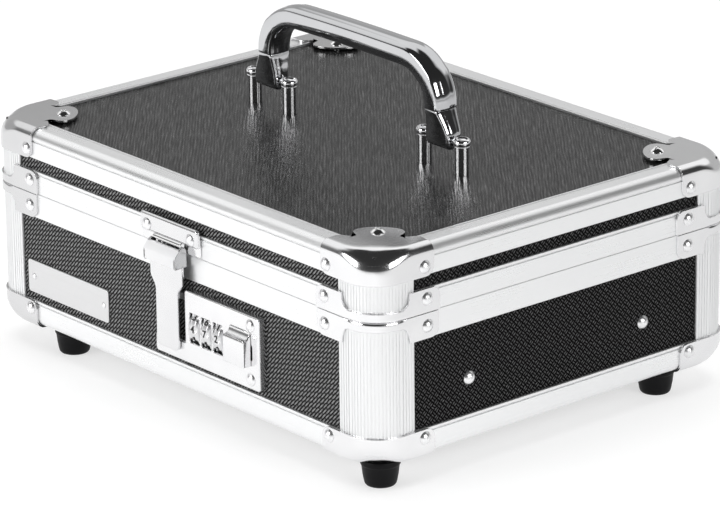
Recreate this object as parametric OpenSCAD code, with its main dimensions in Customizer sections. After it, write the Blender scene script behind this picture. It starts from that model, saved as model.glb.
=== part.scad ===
// Small aluminium-framed hard case with a hinged lid, a folding loop handle,
// a three-wheel combination latch and a padded interior for a folding drone.
// Units are millimetres. X is the width, -Y is the front (latch side), +Z is up.
// The origin is the middle of the case in plan, on the plane under the feet.

/* [Case] */
// Outside width over the rails
case_w = 270; // [262:1:278]
// Outside depth over the rails
case_d = 211; // [205:1:217]
// Height of the base frame, from its underside to the parting line
base_h = 64.7; // [62:0.1:68]
// Height of the lid frame, from the parting line to its top
lid_h = 29.7; // [28:0.1:32]
// Thickness of the wall panels
panel_t = 4; // [3.6:0.1:4]
// Thickness of the aluminium skins
rail_t = 1.2; // [1:0.1:1.2]
// Radius of the vertical corners
corner_r = 15; // [14:0.5:16]
// Length of each leg of a vertical corner post
post_leg = 22.5; // [21:0.5:24]

/* [Corner caps] */
// Thickness of the pressed corner caps
cap_t = 1; // [0.8:0.1:1]
// Length of the flaps of the top and bottom caps
cap_leg = 33; // [31:0.5:34]
// Length of the flaps of the caps at the parting line
low_leg = 35.5; // [34:0.5:37]
// Diameter of the rivet heads
rivet_d = 6; // [5:0.1:6.4]

/* [Feet] */
// Height of the rubber feet
foot_h = 12; // [11:0.5:14]
// Diameter of a foot where it meets the case
foot_d = 17.6; // [16:0.1:18]

/* [Handle] */
// Distance from the middle of the lid to the middle of each handle mount
mount_x = 59.4; // [56:0.1:62]
// Distance between the two posts of one mount
post_gap = 24.6; // [24:0.1:27]
// Diameter of a handle post
post_d = 7.5; // [7:0.1:8]
// Height of the top of the grip above the lid frame
grip_h = 52.4; // [48:0.1:56]
// Width of the grip, front to back
grip_w = 12.8; // [11:0.1:13.4]
// Thickness of the grip
grip_t = 10.6; // [8:0.1:11.4]

/* [Latch] */
// Distance of the lock plate's right edge from the middle
lock_x1 = 62; // [60:0.5:64]
// Height of the lock plate's face above the rails
lock_proud = 2.6; // [2.4:0.1:2.8]
// Travel of the release button
slide_travel = 4; // [3:0.5:4]
// Radius of the number wheels
dial_r = 9.5; // [9.2:0.1:9.6]

/* [Hidden] */
$fn = 64;
fit = 0.05;                     // gap between touching pieces
head_gap = 0.02;                // gap under rivet and screw heads
half_w = case_w / 2;
half_d = case_d / 2;
left_x = -half_w;
front_y = -half_d;
base_z = foot_h;                // underside of the base frame
part_z = foot_h + base_h;       // parting line
top_z = part_z + lid_h;         // top of the lid frame
part_gap = 0.15;                // gap at the parting line

// Layers of a wall, measured inwards from the outer face of the rails
panel_out = rail_t + fit;           // outer face of the panels
panel_in = panel_out + panel_t;     // inner face of the panels
flange_out = panel_in + fit;        // outer face of the inner flange
flange_in = flange_out + rail_t;    // inner face of the inner flange
panel_end = 16.4;                   // distance of a panel's end from the corner

// Rails
edge_r = 4;                         // rounded long edges of the frame
bottom_rail_h = 12.3;
upper_rail_h = 11.5;
low_rail_h = 10.8;
top_rail_h = 13;
top_flange = 11.8;                  // width of the flange on top of the lid
rail_half_x = half_w - post_leg - 0.1;
rail_half_y = half_d - post_leg - 0.1;

// Rivets of the corner caps: [z, distance from the corner along X, along Y]
lid_cap_rows = [[top_z - 8.9, 29.5, 28], [part_z + 6.3, 31, 29.2]];
base_cap_rows = [[part_z - 5.9, 30.7, 29.4], [base_z + 8.4, 28.6, 27.6]];
rivet_shank_r = 1.5;
rivet_hole_r = 1.55;
// Smaller rivets and screws of the lock and the keeper
fixing_shank_r = 1.25;
fixing_hole_r = 1.3;

// ---------- shapes, given by their limits ----------
module rect(x0, x1, y0, y1) { translate([x0, y0]) square([x1 - x0, y1 - y0]); }
module box(x0, x1, y0, y1, z0, z1) {
  translate([x0, y0, z0]) cube([x1 - x0, y1 - y0, z1 - z0]);
}
module round_rect(x0, x1, y0, y1, radius) {
  rect(x0 + radius, x1 - radius, y0, y1);
  rect(x0, x1, y0 + radius, y1 - radius);
  for (x = [x0 + radius, x1 - radius], y = [y0 + radius, y1 - radius])
    translate([x, y]) circle(radius);
}
// Square [0, size] in plan with its outer corner rounded, its two outer sides set out.
module corner_region(size, radius, set_out) {
  difference() {
    rect(-set_out, size, -set_out, size);
    difference() {
      rect(-set_out - 1, radius, -set_out - 1, radius);
      translate([radius, radius]) circle(radius + set_out);
    }
  }
}
module dome(radius, height) {
  sphere_r = (radius * radius + height * height) / (2 * height);
  intersection() {
    translate([0, 0, height - sphere_r]) sphere(sphere_r);
    cylinder(r = radius, h = height + 1);
  }
}
module cross_slot(length, width, turn) {
  for (angle = [turn, turn + 90])
    rotate(angle) translate([-length / 2, -width / 2, 0]) cube([length, width, 2]);
}

// ---------- placing helpers ----------
// A section drawn as [y, z], extruded towards +X.
module extrude_x(at, length) {
  translate(at) rotate([90, 0, 90]) linear_extrude(length) children();
}
// A section drawn as [x, z], extruded towards the front.
module extrude_y(at, length) {
  translate(at) rotate([90, 0, 0]) linear_extrude(length) children();
}
// A plate drawn in front view; its back face lies "inwards" of the rail face.
module front_plate(inwards, thickness) {
  extrude_y([0, front_y + inwards, 0], thickness) children();
}
// A cylinder that runs towards +X.
module rod_x(at, radius, length) {
  translate(at) rotate([0, 90, 0]) cylinder(r = radius, h = length);
}
// A place on the front face, with its +Z pointing inwards.
module on_front(x, z) { translate([x, front_y, z]) rotate([-90, 0, 0]) children(); }
module on_left(y, z) { translate([left_x, y, z]) rotate([0, 90, 0]) children(); }
module both_x() { for (side = [0, 1]) mirror([side, 0, 0]) children(); }
module both_y() { for (side = [0, 1]) mirror([0, side, 0]) children(); }
// Four corners: children are drawn at the corner, +X and +Y pointing inwards.
module corners() { both_x() both_y() translate([left_x, front_y, 0]) children(); }
// Pairs of rails, their section drawn as [inwards, up].
module front_rear_rails() {
  both_y() extrude_x([-rail_half_x, front_y, 0], 2 * rail_half_x) children();
}
module side_rails() {
  both_x() extrude_y([left_x, rail_half_y, 0], 2 * rail_half_y) children();
}

// ---------- rivets ----------
module cap_rivet_places(rows) {
  for (row = rows) both_x() both_y() {
    on_front(left_x + row[1], row[0]) children();
    on_left(front_y + row[2], row[0]) children();
  }
}
module cap_holes(rows) {
  cap_rivet_places(rows) translate([0, 0, -2]) cylinder(r = rivet_hole_r, h = 6.4);
}
// Head outwards (towards -Z of the place), shank inwards.
module headed_pin(face, head_r, head_h, shank_r, shank_h) {
  translate([0, 0, -face]) {
    mirror([0, 0, 1]) dome(head_r, head_h);
    translate([0, 0, -0.2]) cylinder(r = shank_r, h = shank_h);
  }
}
module rivet(face, depth, head_d = rivet_d, head_h = 1.7) {
  headed_pin(face, head_d / 2, head_h, rivet_shank_r, depth + face + 0.2);
}
module cap_rivets(rows) { cap_rivet_places(rows) rivet(cap_t + head_gap, 3.8); }

// ---------- aluminium sections, drawn as [inwards, up] ----------
// Ring of the rounded long edge; the children cut it down to a quarter.
module edge_ring(z) {
  difference() {
    translate([edge_r, z]) circle(edge_r);
    translate([edge_r, z]) circle(edge_r - rail_t);
    children();
  }
}
module bottom_rail_2d() {
  rail_z1 = base_z + bottom_rail_h;
  difference() {
    union() {
      rect(0, rail_t, base_z + edge_r, rail_z1);
      rect(edge_r, 16, base_z, base_z + rail_t);
      edge_ring(base_z + edge_r) {
        rect(edge_r, 20, base_z - 1, base_z + 20);
        rect(-1, 20, base_z + edge_r, base_z + 20);
      }
      rect(flange_out, flange_in, base_z + rail_t - 0.1, rail_z1);
      rect(rail_t - 0.1, flange_in, base_z + 5.3, base_z + 6.4);
    }
    // fine groove in the outer face
    rect(-0.3, 0.25, rail_z1 - 1.7, rail_z1 - 1.2);
  }
}
module upper_rail_2d() {
  rect(0, rail_t, part_z - upper_rail_h, part_z);
  rect(flange_out, flange_in, part_z - upper_rail_h, part_z);
  rect(rail_t - 0.1, flange_out + 0.1, part_z - rail_t, part_z);
  // tongue that stands up into the lid's lower rail
  rect(3.55, 4.75, part_z - 0.1, part_z + 1.8);
}
module low_rail_2d() {
  rail_z0 = part_z + part_gap;
  rail_z1 = part_z + low_rail_h;
  difference() {
    union() {
      rect(0, rail_t, rail_z0, rail_z1);
      rect(flange_out, flange_in, rail_z0, rail_z1);
      rect(rail_t - 0.1, 2.9, rail_z0, part_z + 3.6);
      rect(rail_t - 0.1, flange_out + 0.1, part_z + 2.6, part_z + 3.8);
    }
    rect(-0.3, 0.25, rail_z1 - 1.7, rail_z1 - 1.2);
  }
}
module top_rail_2d() {
  rail_z0 = top_z - top_rail_h;
  difference() {
    union() {
      rect(0, rail_t, rail_z0, top_z - edge_r);
      rect(edge_r, top_flange, top_z - rail_t, top_z);
      edge_ring(top_z - edge_r) {
        rect(edge_r, 20, top_z - 20, top_z + 1);
        rect(-1, 20, top_z - 20, top_z - edge_r);
      }
      rect(flange_out, flange_in, rail_z0, top_z - 4.4);
      rect(rail_t - 0.1, top_flange, top_z - 5.6, top_z - 4.4);
    }
    // fine grooves in the outer face and in the top
    rect(-0.3, 0.3, top_z - edge_r - 1.3, top_z - edge_r - 0.6);
    rect(top_flange - 1.6, top_flange - 1.1, top_z - 0.25, top_z + 1);
  }
}
// Vertical corner post in plan, with panel slots and fine reeds.
module post_2d() {
  reed_w = 0.45;
  difference() {
    union() {
      difference() {
        corner_region(post_leg, corner_r, 0);
        translate([rail_t, rail_t]) corner_region(post_leg, corner_r - rail_t, 0);
      }
      rect(flange_out, post_leg, flange_out, flange_in);
      rect(flange_out, flange_in, flange_out, post_leg);
      rect(flange_out - 1, flange_in + 0.4, flange_out - 1, flange_in + 0.4);
      // webs that close the panel slots
      rect(panel_end - 1.3, panel_end - 0.1, rail_t - 0.1, flange_out + 0.1);
      rect(rail_t - 0.1, flange_out + 0.1, panel_end - 1.3, panel_end - 0.1);
    }
    for (along = [corner_r + 1 : 1.6 : post_leg - 1]) {
      rect(along, along + reed_w, -1, 0.2);
      rect(-1, 0.2, along, along + reed_w);
    }
    for (angle = [3 : 6 : 87])
      translate([corner_r, corner_r]) rotate(180 + angle)
        rect(corner_r - 0.2, corner_r + 1, -0.22, 0.22);
  }
}

// ---------- wall panels ----------
module front_wall(z, height) {
  translate([left_x + panel_end, front_y + panel_out, z])
    cube([case_w - 2 * panel_end, panel_t, height]);
}
module left_wall(z, height) {
  translate([left_x + panel_out, front_y + panel_end, z])
    cube([panel_t, case_d - 2 * panel_end, height]);
}

// ---------- base panels ----------
base_wall_z = base_z + 6.5;
base_wall_h = base_h - 6.5 - rail_t - 0.1;
module lock_cutout() {
  box(12, 59.4, front_y - 1, front_y + 9, part_z - 42.4, part_z - 22.6);
  // relief for the ends of the wheel shaft
  box(10, 61, front_y + 3, front_y + 9, dial_z - 2.2, dial_z + 2.2);
}
module base_front_panel() color("dimgray") difference() {
  front_wall(base_wall_z, base_wall_h);
  lock_cutout();
  cap_holes(base_cap_rows);
  nameplate_pin_places() cylinder(r = name_hole_r, h = 5);
  lock_rivet_places() cylinder(r = fixing_hole_r, h = 9);
}
module base_rear_panel() color("dimgray") difference() {
  mirror([0, 1, 0]) front_wall(base_wall_z, base_wall_h);
  cap_holes(base_cap_rows);
  hinge_rivet_holes(on_lid = false);
}
module base_left_panel() color("dimgray") difference() {
  left_wall(base_wall_z, base_wall_h);
  cap_holes(base_cap_rows);
  ledge_rivet_places() cylinder(r = rivet_hole_r, h = 8);
}
module base_right_panel() mirror([1, 0, 0]) base_left_panel();
module base_bottom_panel() color("#2a2a2a") difference() {
  box(left_x + flange_in + 0.2, half_w - flange_in - 0.2,
    front_y + flange_in + 0.2, half_d - flange_in - 0.2,
    base_z + rail_t + fit, base_z + 5.2);
  corners() translate([0, 0, base_z]) cube([post_leg + 0.2, post_leg + 0.2, 8]);
  foot_places(base_z - 1) cylinder(r = foot_hole_r, h = 9);
}

// ---------- base frame ----------
module foot_screw_holes() { foot_places(base_z - 2) cylinder(r = foot_hole_r, h = 10); }
module base_bottom_rails_front_rear() color("gainsboro") difference() {
  front_rear_rails() bottom_rail_2d();
  cap_holes([base_cap_rows[1]]);
  foot_screw_holes();
}
module base_bottom_rails_sides() color("gainsboro") difference() {
  side_rails() bottom_rail_2d();
  cap_holes([base_cap_rows[1]]);
  foot_screw_holes();
}
module base_upper_rails_front_rear() color("gainsboro") difference() {
  front_rear_rails() upper_rail_2d();
  cap_holes([base_cap_rows[0]]);
  hinge_rivet_holes(on_lid = false);
}
module base_upper_rails_sides() color("gainsboro") difference() {
  side_rails() upper_rail_2d();
  cap_holes([base_cap_rows[0]]);
}
// Floor of a post, which a foot screw passes through.
module post_floor_2d() {
  difference() {
    rect(edge_r + 1.2, post_leg, edge_r + 1.2, post_leg);
    difference() {
      rect(0, corner_r, 0, corner_r);
      translate([corner_r, corner_r]) circle(corner_r - edge_r - 1);
    }
  }
}
module base_corner_posts() color("whitesmoke") difference() {
  corners() {
    translate([0, 0, base_z + edge_r + 0.2])
      linear_extrude(base_h - edge_r - 0.2) post_2d();
    translate([0, 0, base_z + 0.1]) linear_extrude(1.1) post_floor_2d();
    // ribs that join the floor to the inner flanges
    translate([0, 0, base_z + 0.5]) linear_extrude(6)
      rect(flange_out + 0.4, flange_in + 1, flange_out + 3, post_leg);
    translate([0, 0, base_z + 0.5]) linear_extrude(6)
      rect(flange_out + 3, post_leg, flange_out + 0.4, flange_in + 1);
  }
  foot_screw_holes();
}

// ---------- corner caps ----------
// Shell that wraps a corner at the outer faces, from z0 to z1.
module cap_band(z0, z1, leg) {
  translate([0, 0, z0]) linear_extrude(z1 - z0) difference() {
    corner_region(leg, corner_r, cap_t);
    corner_region(leg + 1, corner_r, fit);
  }
}
// Section of a rounded cap, [outwards from the corner's axis, up].
module cap_section(z0, z1) {
  edge_x = corner_r - edge_r;
  edge_z = z1 - edge_r - cap_t;
  difference() {
    union() {
      rect(0, corner_r + cap_t, z0, edge_z);
      rect(0, edge_x, z0, z1);
      translate([edge_x, edge_z]) circle(edge_r + cap_t);
    }
    rect(-1, corner_r + fit, z0 - 1, edge_z);
    rect(-1, edge_x, z0 - 1, z1 - cap_t + fit);
    translate([edge_x, edge_z]) circle(edge_r + fit);
    rect(-9, 0, z0 - 9, z1 + 9);
    rect(-9, edge_x + 9, z0 - 9, z0);
  }
}
// Flat plate of a rounded cap: two flaps, a round lobe and two bites at the flap ends.
module cap_plate_2d() {
  flap_w = 24.6;
  bite_at = 13.6;
  difference() {
    union() {
      rect(corner_r - 0.1, cap_leg, corner_r - 0.1, flap_w);
      rect(corner_r - 0.1, flap_w, corner_r - 0.1, cap_leg);
      translate([24.6, 24]) circle(9.4);
    }
    translate([cap_leg + 0.6, bite_at]) circle(1.5);
    translate([bite_at, cap_leg + 0.6]) circle(1.5);
  }
}
// The section swept round the corner and along both flaps, and the plate.
module rounded_cap(z0, z1) {
  flap_length = cap_leg - corner_r;
  translate([corner_r, corner_r, 0]) rotate([0, 0, 180])
    rotate_extrude(angle = 90) cap_section(z0, z1);
  extrude_x([corner_r, corner_r, 0], flap_length) mirror([1, 0, 0]) cap_section(z0, z1);
  extrude_y([corner_r, cap_leg, 0], flap_length) mirror([1, 0, 0]) cap_section(z0, z1);
  translate([0, 0, z1 - cap_t + fit]) linear_extrude(cap_t - fit) cap_plate_2d();
}
module base_bottom_corner_caps() color("white") difference() {
  mirror([0, 0, 1]) corners() rounded_cap(-base_z - bottom_rail_h, -base_z + cap_t);
  cap_holes([base_cap_rows[1]]);
  foot_places(-1) cylinder(r = foot_d / 2 + 0.3, h = base_z + 2);
}
module base_upper_corner_caps() color("white") difference() {
  corners() difference() {
    cap_band(part_z - upper_rail_h, part_z - 0.1, low_leg);
    // the corner itself stays bare below a narrow strip
    translate([-3, -3, part_z - upper_rail_h - 1]) cube([20, 20, 8.2]);
  }
  cap_holes([base_cap_rows[0]]);
}
module base_rivets() color("white") {
  cap_rivets(base_cap_rows);
  hinge_rivets(on_lid = false);
}

// ---------- side ledges ----------
ledge_rivet_y = 51;
ledge_rivet_z = 40.4;
ledge_half_l = 68;
ledge_top_z = 46;
ledge_t = 1.2;
module ledge_rivet_places() {
  for (y = [-ledge_rivet_y, ledge_rivet_y]) on_left(y, ledge_rivet_z) children();
}
module ledge_rivets() color("white") both_x() ledge_rivet_places() {
  rivet(-panel_out + head_gap, flange_in + 0.4, 6.4, 1.9);
  translate([0, 0, flange_in + head_gap]) cylinder(r = 2.6, h = 0.8);
}
// Angle with an upright leg on the wall and a flat leg inwards.
module side_ledges() color("silver") difference() {
  both_x() {
    box(left_x + flange_out, left_x + flange_out + ledge_t,
      -ledge_half_l, ledge_half_l, 34, ledge_top_z);
    box(left_x + flange_out, left_x + flange_out + 12,
      -ledge_half_l, ledge_half_l, ledge_top_z - ledge_t, ledge_top_z);
  }
  both_x() ledge_rivet_places() cylinder(r = rivet_hole_r, h = 8);
}

// ---------- interior ----------
tray_in = 7.2;          // tray wall, inwards from the rail face
lock_recess_in = 17.6;  // back of the tray's recess for the lock
tray_hole_x = 112;
tray_hole_r = 7;
module tray_plan(inset) {
  difference() {
    union() {
      rect(left_x + tray_in + inset, half_w - tray_in - inset,
        front_y + post_leg + 1 + inset, half_d - post_leg - 1 - inset);
      rect(left_x + post_leg + 1 + inset, half_w - post_leg - 1 - inset,
        front_y + tray_in + inset, half_d - tray_in - inset);
    }
    rect(6 - inset, 63 + inset, front_y - 1, front_y + lock_recess_in + inset);
  }
}
module tray_holes(z, height) {
  for (x = [-tray_hole_x, tray_hole_x])
    translate([x, 0, z]) cylinder(r = tray_hole_r, h = height);
}
module tray() color("#333333") difference() {
  translate([0, 0, ledge_top_z + 0.1]) linear_extrude(27.4) tray_plan(0);
  translate([0, 0, 47.6]) linear_extrude(30) tray_plan(1.5);
  tray_holes(40, 12);
}
module well(x, y, width, depth, radius) {
  translate([x, y]) round_rect(-width / 2, width / 2, -depth / 2, depth / 2, radius);
}
module wells_2d() {
  well(-46, 22, 138, 88, 14);
  well(76, 12, 76, 118, 12);
  for (x = [-96, -58, -20]) well(x, -60, 31, 42, 4);
  well(86, -70, 56, 22, 8);
}
module tray_foam() color("#3c3c3c") difference() {
  translate([0, 0, 47.7]) linear_extrude(24.3) tray_plan(2.1);
  translate([0, 0, 51]) linear_extrude(30) wells_2d();
  tray_holes(46, 8);
}
module floor_foam() color("#3c3c3c")
  translate([0, 0, base_z + 5.4]) linear_extrude(6) difference() {
    rect(left_x + 24, half_w - 24, front_y + 24, half_d - 24);
    foot_places(0) circle(6);
  }

// ---------- feet ----------
foot_pos = [[123.5, -92.5], [-92, -93], [122.5, 70], [-92, 93]];  // [x, y]
foot_hole_r = 1.8;      // screw hole in the case
foot_bore_r = 2.1;      // screw hole in the rubber
foot_recess_r = 4.4;    // recess for the screw head
module foot_places(z) { for (place = foot_pos) translate([place[0], place[1], z]) children(); }
module rubber_feet() color("#151515") foot_places(0) rotate_extrude()
  polygon([  // [radius, z]
    [foot_bore_r, 4.5], [foot_recess_r, 4.5], [foot_recess_r, 0],
    [foot_d / 2 - 2.6, 0], [foot_d / 2 - 1.7, 0.9],
    [foot_d / 2 - 0.15, foot_h - 2.4], [foot_d / 2, foot_h - 2.1],
    [foot_d / 2, foot_h - 0.03], [foot_bore_r, foot_h - 0.03]]);
module foot_screws() color("silver") foot_places(0) {
  translate([0, 0, 4.2]) cylinder(r = 1.7, h = base_z + 0.4);
  difference() {
    translate([0, 0, 2]) cylinder(r = 4.1, h = 2.45);
    translate([0, 0, 1]) cross_slot(length = 4.4, width = 0.9, turn = 0);
  }
}

// ---------- nameplate ----------
name_hole_r = 0.85;
module nameplate_pin_places() { for (x = [-104.8, -52.6]) on_front(x, part_z - 41) children(); }
module nameplate() color("lightgray") difference() {
  front_plate(panel_out - 0.05, 0.8)
    round_rect(-109.2, -49.2, part_z - 48.8, part_z - 33.2, 1.5);
  nameplate_pin_places() translate([0, 0, -1]) cylinder(r = name_hole_r, h = 6);
}
module nameplate_pins() color("white") nameplate_pin_places() {
  translate([0, 0, 0.36]) mirror([0, 0, 1]) dome(1.4, 0.6);
  translate([0, 0, 0.2]) cylinder(r = 0.8, h = 4.4);
}

// ---------- lock ----------
lock_x0 = -10.5;
lock_z0 = part_z - 49.3;
lock_z1 = part_z - 15.8;
notch_x = 10.4;                         // right edge of the notch for the hasp
notch_z = part_z - 40.6;                // lower edge of the notch
lock_rivet_x = 56;
lock_rivet_z = [part_z - 20.1, part_z - 44.9];
dial_x = [16.8, 25, 33.2];
dial_z = part_z - 32.5;
dial_in = dial_r - lock_proud - 1.6;    // shaft line, inwards from the rail face
dial_w = 6.4;
shaft_r = 2;
module lock_rivet_places() { for (z = lock_rivet_z) on_front(lock_rivet_x, z) children(); }
module lock_outline(inset) {
  difference() {
    round_rect(lock_x0 + inset, lock_x1 - inset, lock_z0 + inset, lock_z1 - inset,
      1.6 - min(inset, 1));
    rect(lock_x0 - 1, notch_x + inset, notch_z - inset, lock_z1 + 1);
  }
}
module lock_plate() color("white") difference() {
  front_plate(panel_out - 0.03, lock_proud + panel_out - 0.03) lock_outline(0);
  // hollow back
  front_plate(panel_out + 1, lock_proud + panel_out - 1.2 + 1) lock_outline(1.2);
  for (x = dial_x)
    box(x - 3.6, x + 3.6, front_y - 9, front_y + 1, dial_z - 6.8, dial_z + 6.8);
  // slot of the release stem, and the way out for the bolt
  box(45.2, 53.2 + slide_travel, front_y - 9, front_y + 1, dial_z - 3.2, dial_z + 3.2);
  box(notch_x - 1, notch_x + 3, front_y - 1, front_y + 1.2, part_z - 22.2, part_z - 17.8);
  lock_rivet_places() translate([0, 0, -5]) cylinder(r = fixing_hole_r, h = 12);
}
module lock_rivets() color("white") lock_rivet_places()
  headed_pin(lock_proud + head_gap, 2.9, 1.5, fixing_shank_r, lock_proud + panel_in + 2);
// Box behind the front panel, open at its front.
module lock_housing() color("silver") difference() {
  box(10.2, 60.6, front_y + panel_in + fit, front_y + 16.6, part_z - 44.2, part_z - 20.8);
  box(11.4, 59.4, front_y, front_y + 15.4, part_z - 43, part_z - 22);
  rod_x([9, front_y + dial_in, dial_z], shaft_r + 0.02, 60);
  lock_rivet_places() cylinder(r = fixing_hole_r, h = 12);
}
module dial_shaft() color("gray") rod_x([10.3, front_y + dial_in, dial_z], shaft_r, 50.2);
// Number wheel with ten grooves round its rim.
module dial(x) {
  translate([x - dial_w / 2, front_y + dial_in, dial_z]) rotate([0, 90, 0]) difference() {
    union() {
      translate([0, 0, 0.6]) cylinder(r = dial_r, h = dial_w - 1.2);
      cylinder(r = dial_r - 1.1, h = dial_w);
    }
    translate([0, 0, -1]) cylinder(r = shaft_r + 0.05, h = dial_w + 2);
    for (angle = [0 : 36 : 324])
      rotate(angle + 18) translate([dial_r + 0.35, 0, -1])
        cylinder(r = 1.05, h = dial_w + 2, $fn = 24);
  }
}
module dial_1() color("silver") dial(dial_x[0]);
module dial_2() color("silver") dial(dial_x[1]);
module dial_3() color("silver") dial(dial_x[2]);
// Spring between the bolt's slide and the end wall of the plate: rings joined by a rod.
coil_r = 0.8;
coil_pitch = 0.85;
module bolt_spring() color("gray") translate([57, front_y - 0.08, part_z - 26.5]) {
  for (i = [0 : 4])
    translate([i * coil_pitch, 0, 0]) rotate([0, 90, 0])
      rotate_extrude() translate([coil_r, 0]) circle(0.22, $fn = 20);
  rod_x([0, coil_r, 0], 0.16, 4 * coil_pitch, $fn = 20);
}
// Pad with a scooped ramp above it, and the stem through the plate.
module release_button() color("white") {
  extrude_x([41.8, front_y - lock_proud - 0.15, 0], 14.5) difference() {
    union() {
      rect(-4.3, 0, dial_z - 6.4, dial_z + 6.8);
      rect(-3.4, 0, dial_z + 6.7, dial_z + 9.1);
    }
    translate([-4.9, dial_z + 11.2]) circle(4.4);
  }
  box(46, 52, front_y - lock_proud - 0.2, front_y - 0.9, dial_z - 2.6, dial_z + 2.6);
}
module bolt_bar(x0, x1, z0, z1) { box(x0, x1, front_y - 0.85, front_y + 0.7, z0, z1); }
// Slide behind the plate, with a cranked arm that reaches the hasp's tongue.
module lock_bolt() color("gray") {
  bolt_bar(45.4, 52.6, dial_z - 4.6, part_z - 21.9);
  bolt_bar(4.4, 38.4, part_z - 21.6, part_z - 18.4);
  bolt_bar(36.8, 52.6, part_z - 25, part_z - 21.9);
  bolt_bar(36.8, 38.4, part_z - 25, part_z - 18.4);
}

// ---------- hinges ----------
hinge_x = 70;
hinge_half_w = 17;
hinge_pin_y = half_d + 2.6;
hinge_pin_r = 1.2;
leaf_h = 10.6;
leaf_out = 1.25;                // outer face of a leaf, outwards from the rails
knuckle_half_w = 6;             // middle knuckle, which belongs to the lid
module hinge_places() { for (side = [-1, 1]) translate([side * hinge_x, 0, 0]) children(); }
module hinge_rivet_places(on_lid) {
  hinge_places() for (side = [-1, 1])
    translate([side * 11, half_d, on_lid ? part_z + 7.2 : part_z - 6.4])
      rotate([90, 0, 0]) children();
}
module hinge_rivet_holes(on_lid) {
  hinge_rivet_places(on_lid) translate([0, 0, -3]) cylinder(r = rivet_hole_r, h = 7.4);
}
module hinge_rivets(on_lid) { hinge_rivet_places(on_lid) rivet(leaf_out + head_gap, 3.8, 5, 1.3); }
// Stop shelf that the lid leaf comes to rest on, [outwards from the pin line, up].
module stop_shelf() {
  extrude_x([-hinge_half_w, hinge_pin_y, part_z], 2 * hinge_half_w)
    polygon([[0.5, -2.2], [5.4, -2.4], [5.4, -0.5], [4.5, 0.32], [2.1, 0.75], [0.5, 0.8]]);
}
// What the other leaf's knuckles and plate take away from a leaf.
module leaf_cuts(on_lid) {
  cut_y = hinge_pin_y + 9;
  if (on_lid) {
    box(-20, -knuckle_half_w + 0.1, half_d - 1, cut_y, part_z - 9, part_z + 2.9);
    box(knuckle_half_w - 0.1, 20, half_d - 1, cut_y, part_z - 9, part_z + 2.9);
    box(-20, 20, half_d, half_d + 1.3, part_z - 9, part_z - 0.01);
  } else {
    box(-knuckle_half_w - 0.1, knuckle_half_w + 0.1, half_d, cut_y, part_z - 2.9, part_z + 9);
    box(-20, 20, half_d, half_d + 1.3, part_z + 0.01, part_z + 9);
  }
}
module leaves(on_lid) {
  leaf_z = on_lid ? part_z : part_z - leaf_h;
  difference() {
    hinge_places() {
      box(-hinge_half_w, hinge_half_w, half_d + fit, half_d + leaf_out,
        leaf_z, leaf_z + leaf_h);
      rod_x([-hinge_half_w, hinge_pin_y, part_z], 2.4, 2 * hinge_half_w);
      if (!on_lid) stop_shelf();
    }
    hinge_places() {
      leaf_cuts(on_lid);
      rod_x([-20, hinge_pin_y, part_z], hinge_pin_r + 0.05, 40);
    }
    hinge_rivet_holes(on_lid);
  }
}
module hinge_base_leaves() color("silver") leaves(on_lid = false);
module hinge_lid_leaves() color("silver") leaves(on_lid = true);
module hinge_pins() color("gray") hinge_places()
  rod_x([-hinge_half_w, hinge_pin_y, part_z], hinge_pin_r, 2 * hinge_half_w);

// ---------- lid panels ----------
lid_wall_z = part_z + 3.9;
lid_wall_h = lid_h - 5.7 - 3.9;
module lid_front_panel() color("dimgray") difference() {
  front_wall(lid_wall_z, lid_wall_h);
  cap_holes(lid_cap_rows);
  keeper_places() translate([0, 0, -1]) cylinder(r = fixing_hole_r, h = 9);
}
module lid_rear_panel() color("dimgray") difference() {
  mirror([0, 1, 0]) front_wall(lid_wall_z, lid_wall_h);
  cap_holes(lid_cap_rows);
  hinge_rivet_holes(on_lid = true);
}
module lid_left_panel() color("dimgray") difference() {
  left_wall(lid_wall_z, lid_wall_h);
  cap_holes(lid_cap_rows);
}
module lid_right_panel() mirror([1, 0, 0]) lid_left_panel();
module lid_top_panel() color("#4a4a4a") difference() {
  translate([0, 0, top_z - rail_t - 3.1]) linear_extrude(3.05) difference() {
    rect(left_x + flange_out, half_w - flange_out, front_y + flange_out, half_d - flange_out);
    corners() difference() {
      rect(-1, corner_r, -1, corner_r);
      translate([corner_r, corner_r]) circle(corner_r - panel_out - 0.4);
    }
  }
  corner_screw_holes();
  handle_post_places(top_z - 20) cylinder(r = stud_hole_r, h = 30);
}

// ---------- lid frame ----------
module lid_top_rails_front_rear() color("gainsboro") difference() {
  front_rear_rails() top_rail_2d();
  cap_holes([lid_cap_rows[0]]);
}
module lid_top_rails_sides() color("gainsboro") difference() {
  side_rails() top_rail_2d();
  cap_holes([lid_cap_rows[0]]);
}
module lid_lower_rails_front_rear() color("gainsboro") difference() {
  front_rear_rails() low_rail_2d();
  cap_holes([lid_cap_rows[1]]);
  hinge_rivet_holes(on_lid = true);
  keeper_places() translate([0, 0, -1]) cylinder(r = fixing_hole_r, h = 9);
}
module lid_lower_rails_sides() color("gainsboro") difference() {
  side_rails() low_rail_2d();
  cap_holes([lid_cap_rows[1]]);
}
module lid_corner_posts() color("whitesmoke") corners()
  translate([0, 0, part_z + part_gap])
    linear_extrude(lid_h - part_gap - edge_r - 0.5) post_2d();
module lid_top_corner_caps() color("white") difference() {
  corners() rounded_cap(top_z - top_rail_h - 0.3, top_z + cap_t);
  cap_holes([lid_cap_rows[0]]);
  corner_screw_holes();
}
module lid_lower_corner_caps() color("white") difference() {
  corners() difference() {
    cap_band(part_z + part_gap + 0.05, part_z + low_rail_h, low_leg + 0.8);
    // the corner itself stays bare above a narrow strip
    translate([-3, -3, part_z + 4]) cube([20, 20, 9]);
  }
  cap_holes([lid_cap_rows[1]]);
}
module lid_rivets() color("white") {
  cap_rivets(lid_cap_rows);
  hinge_rivets(on_lid = true);
}
corner_screw_x = 110.3;
corner_screw_y = 81.4;
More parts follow.
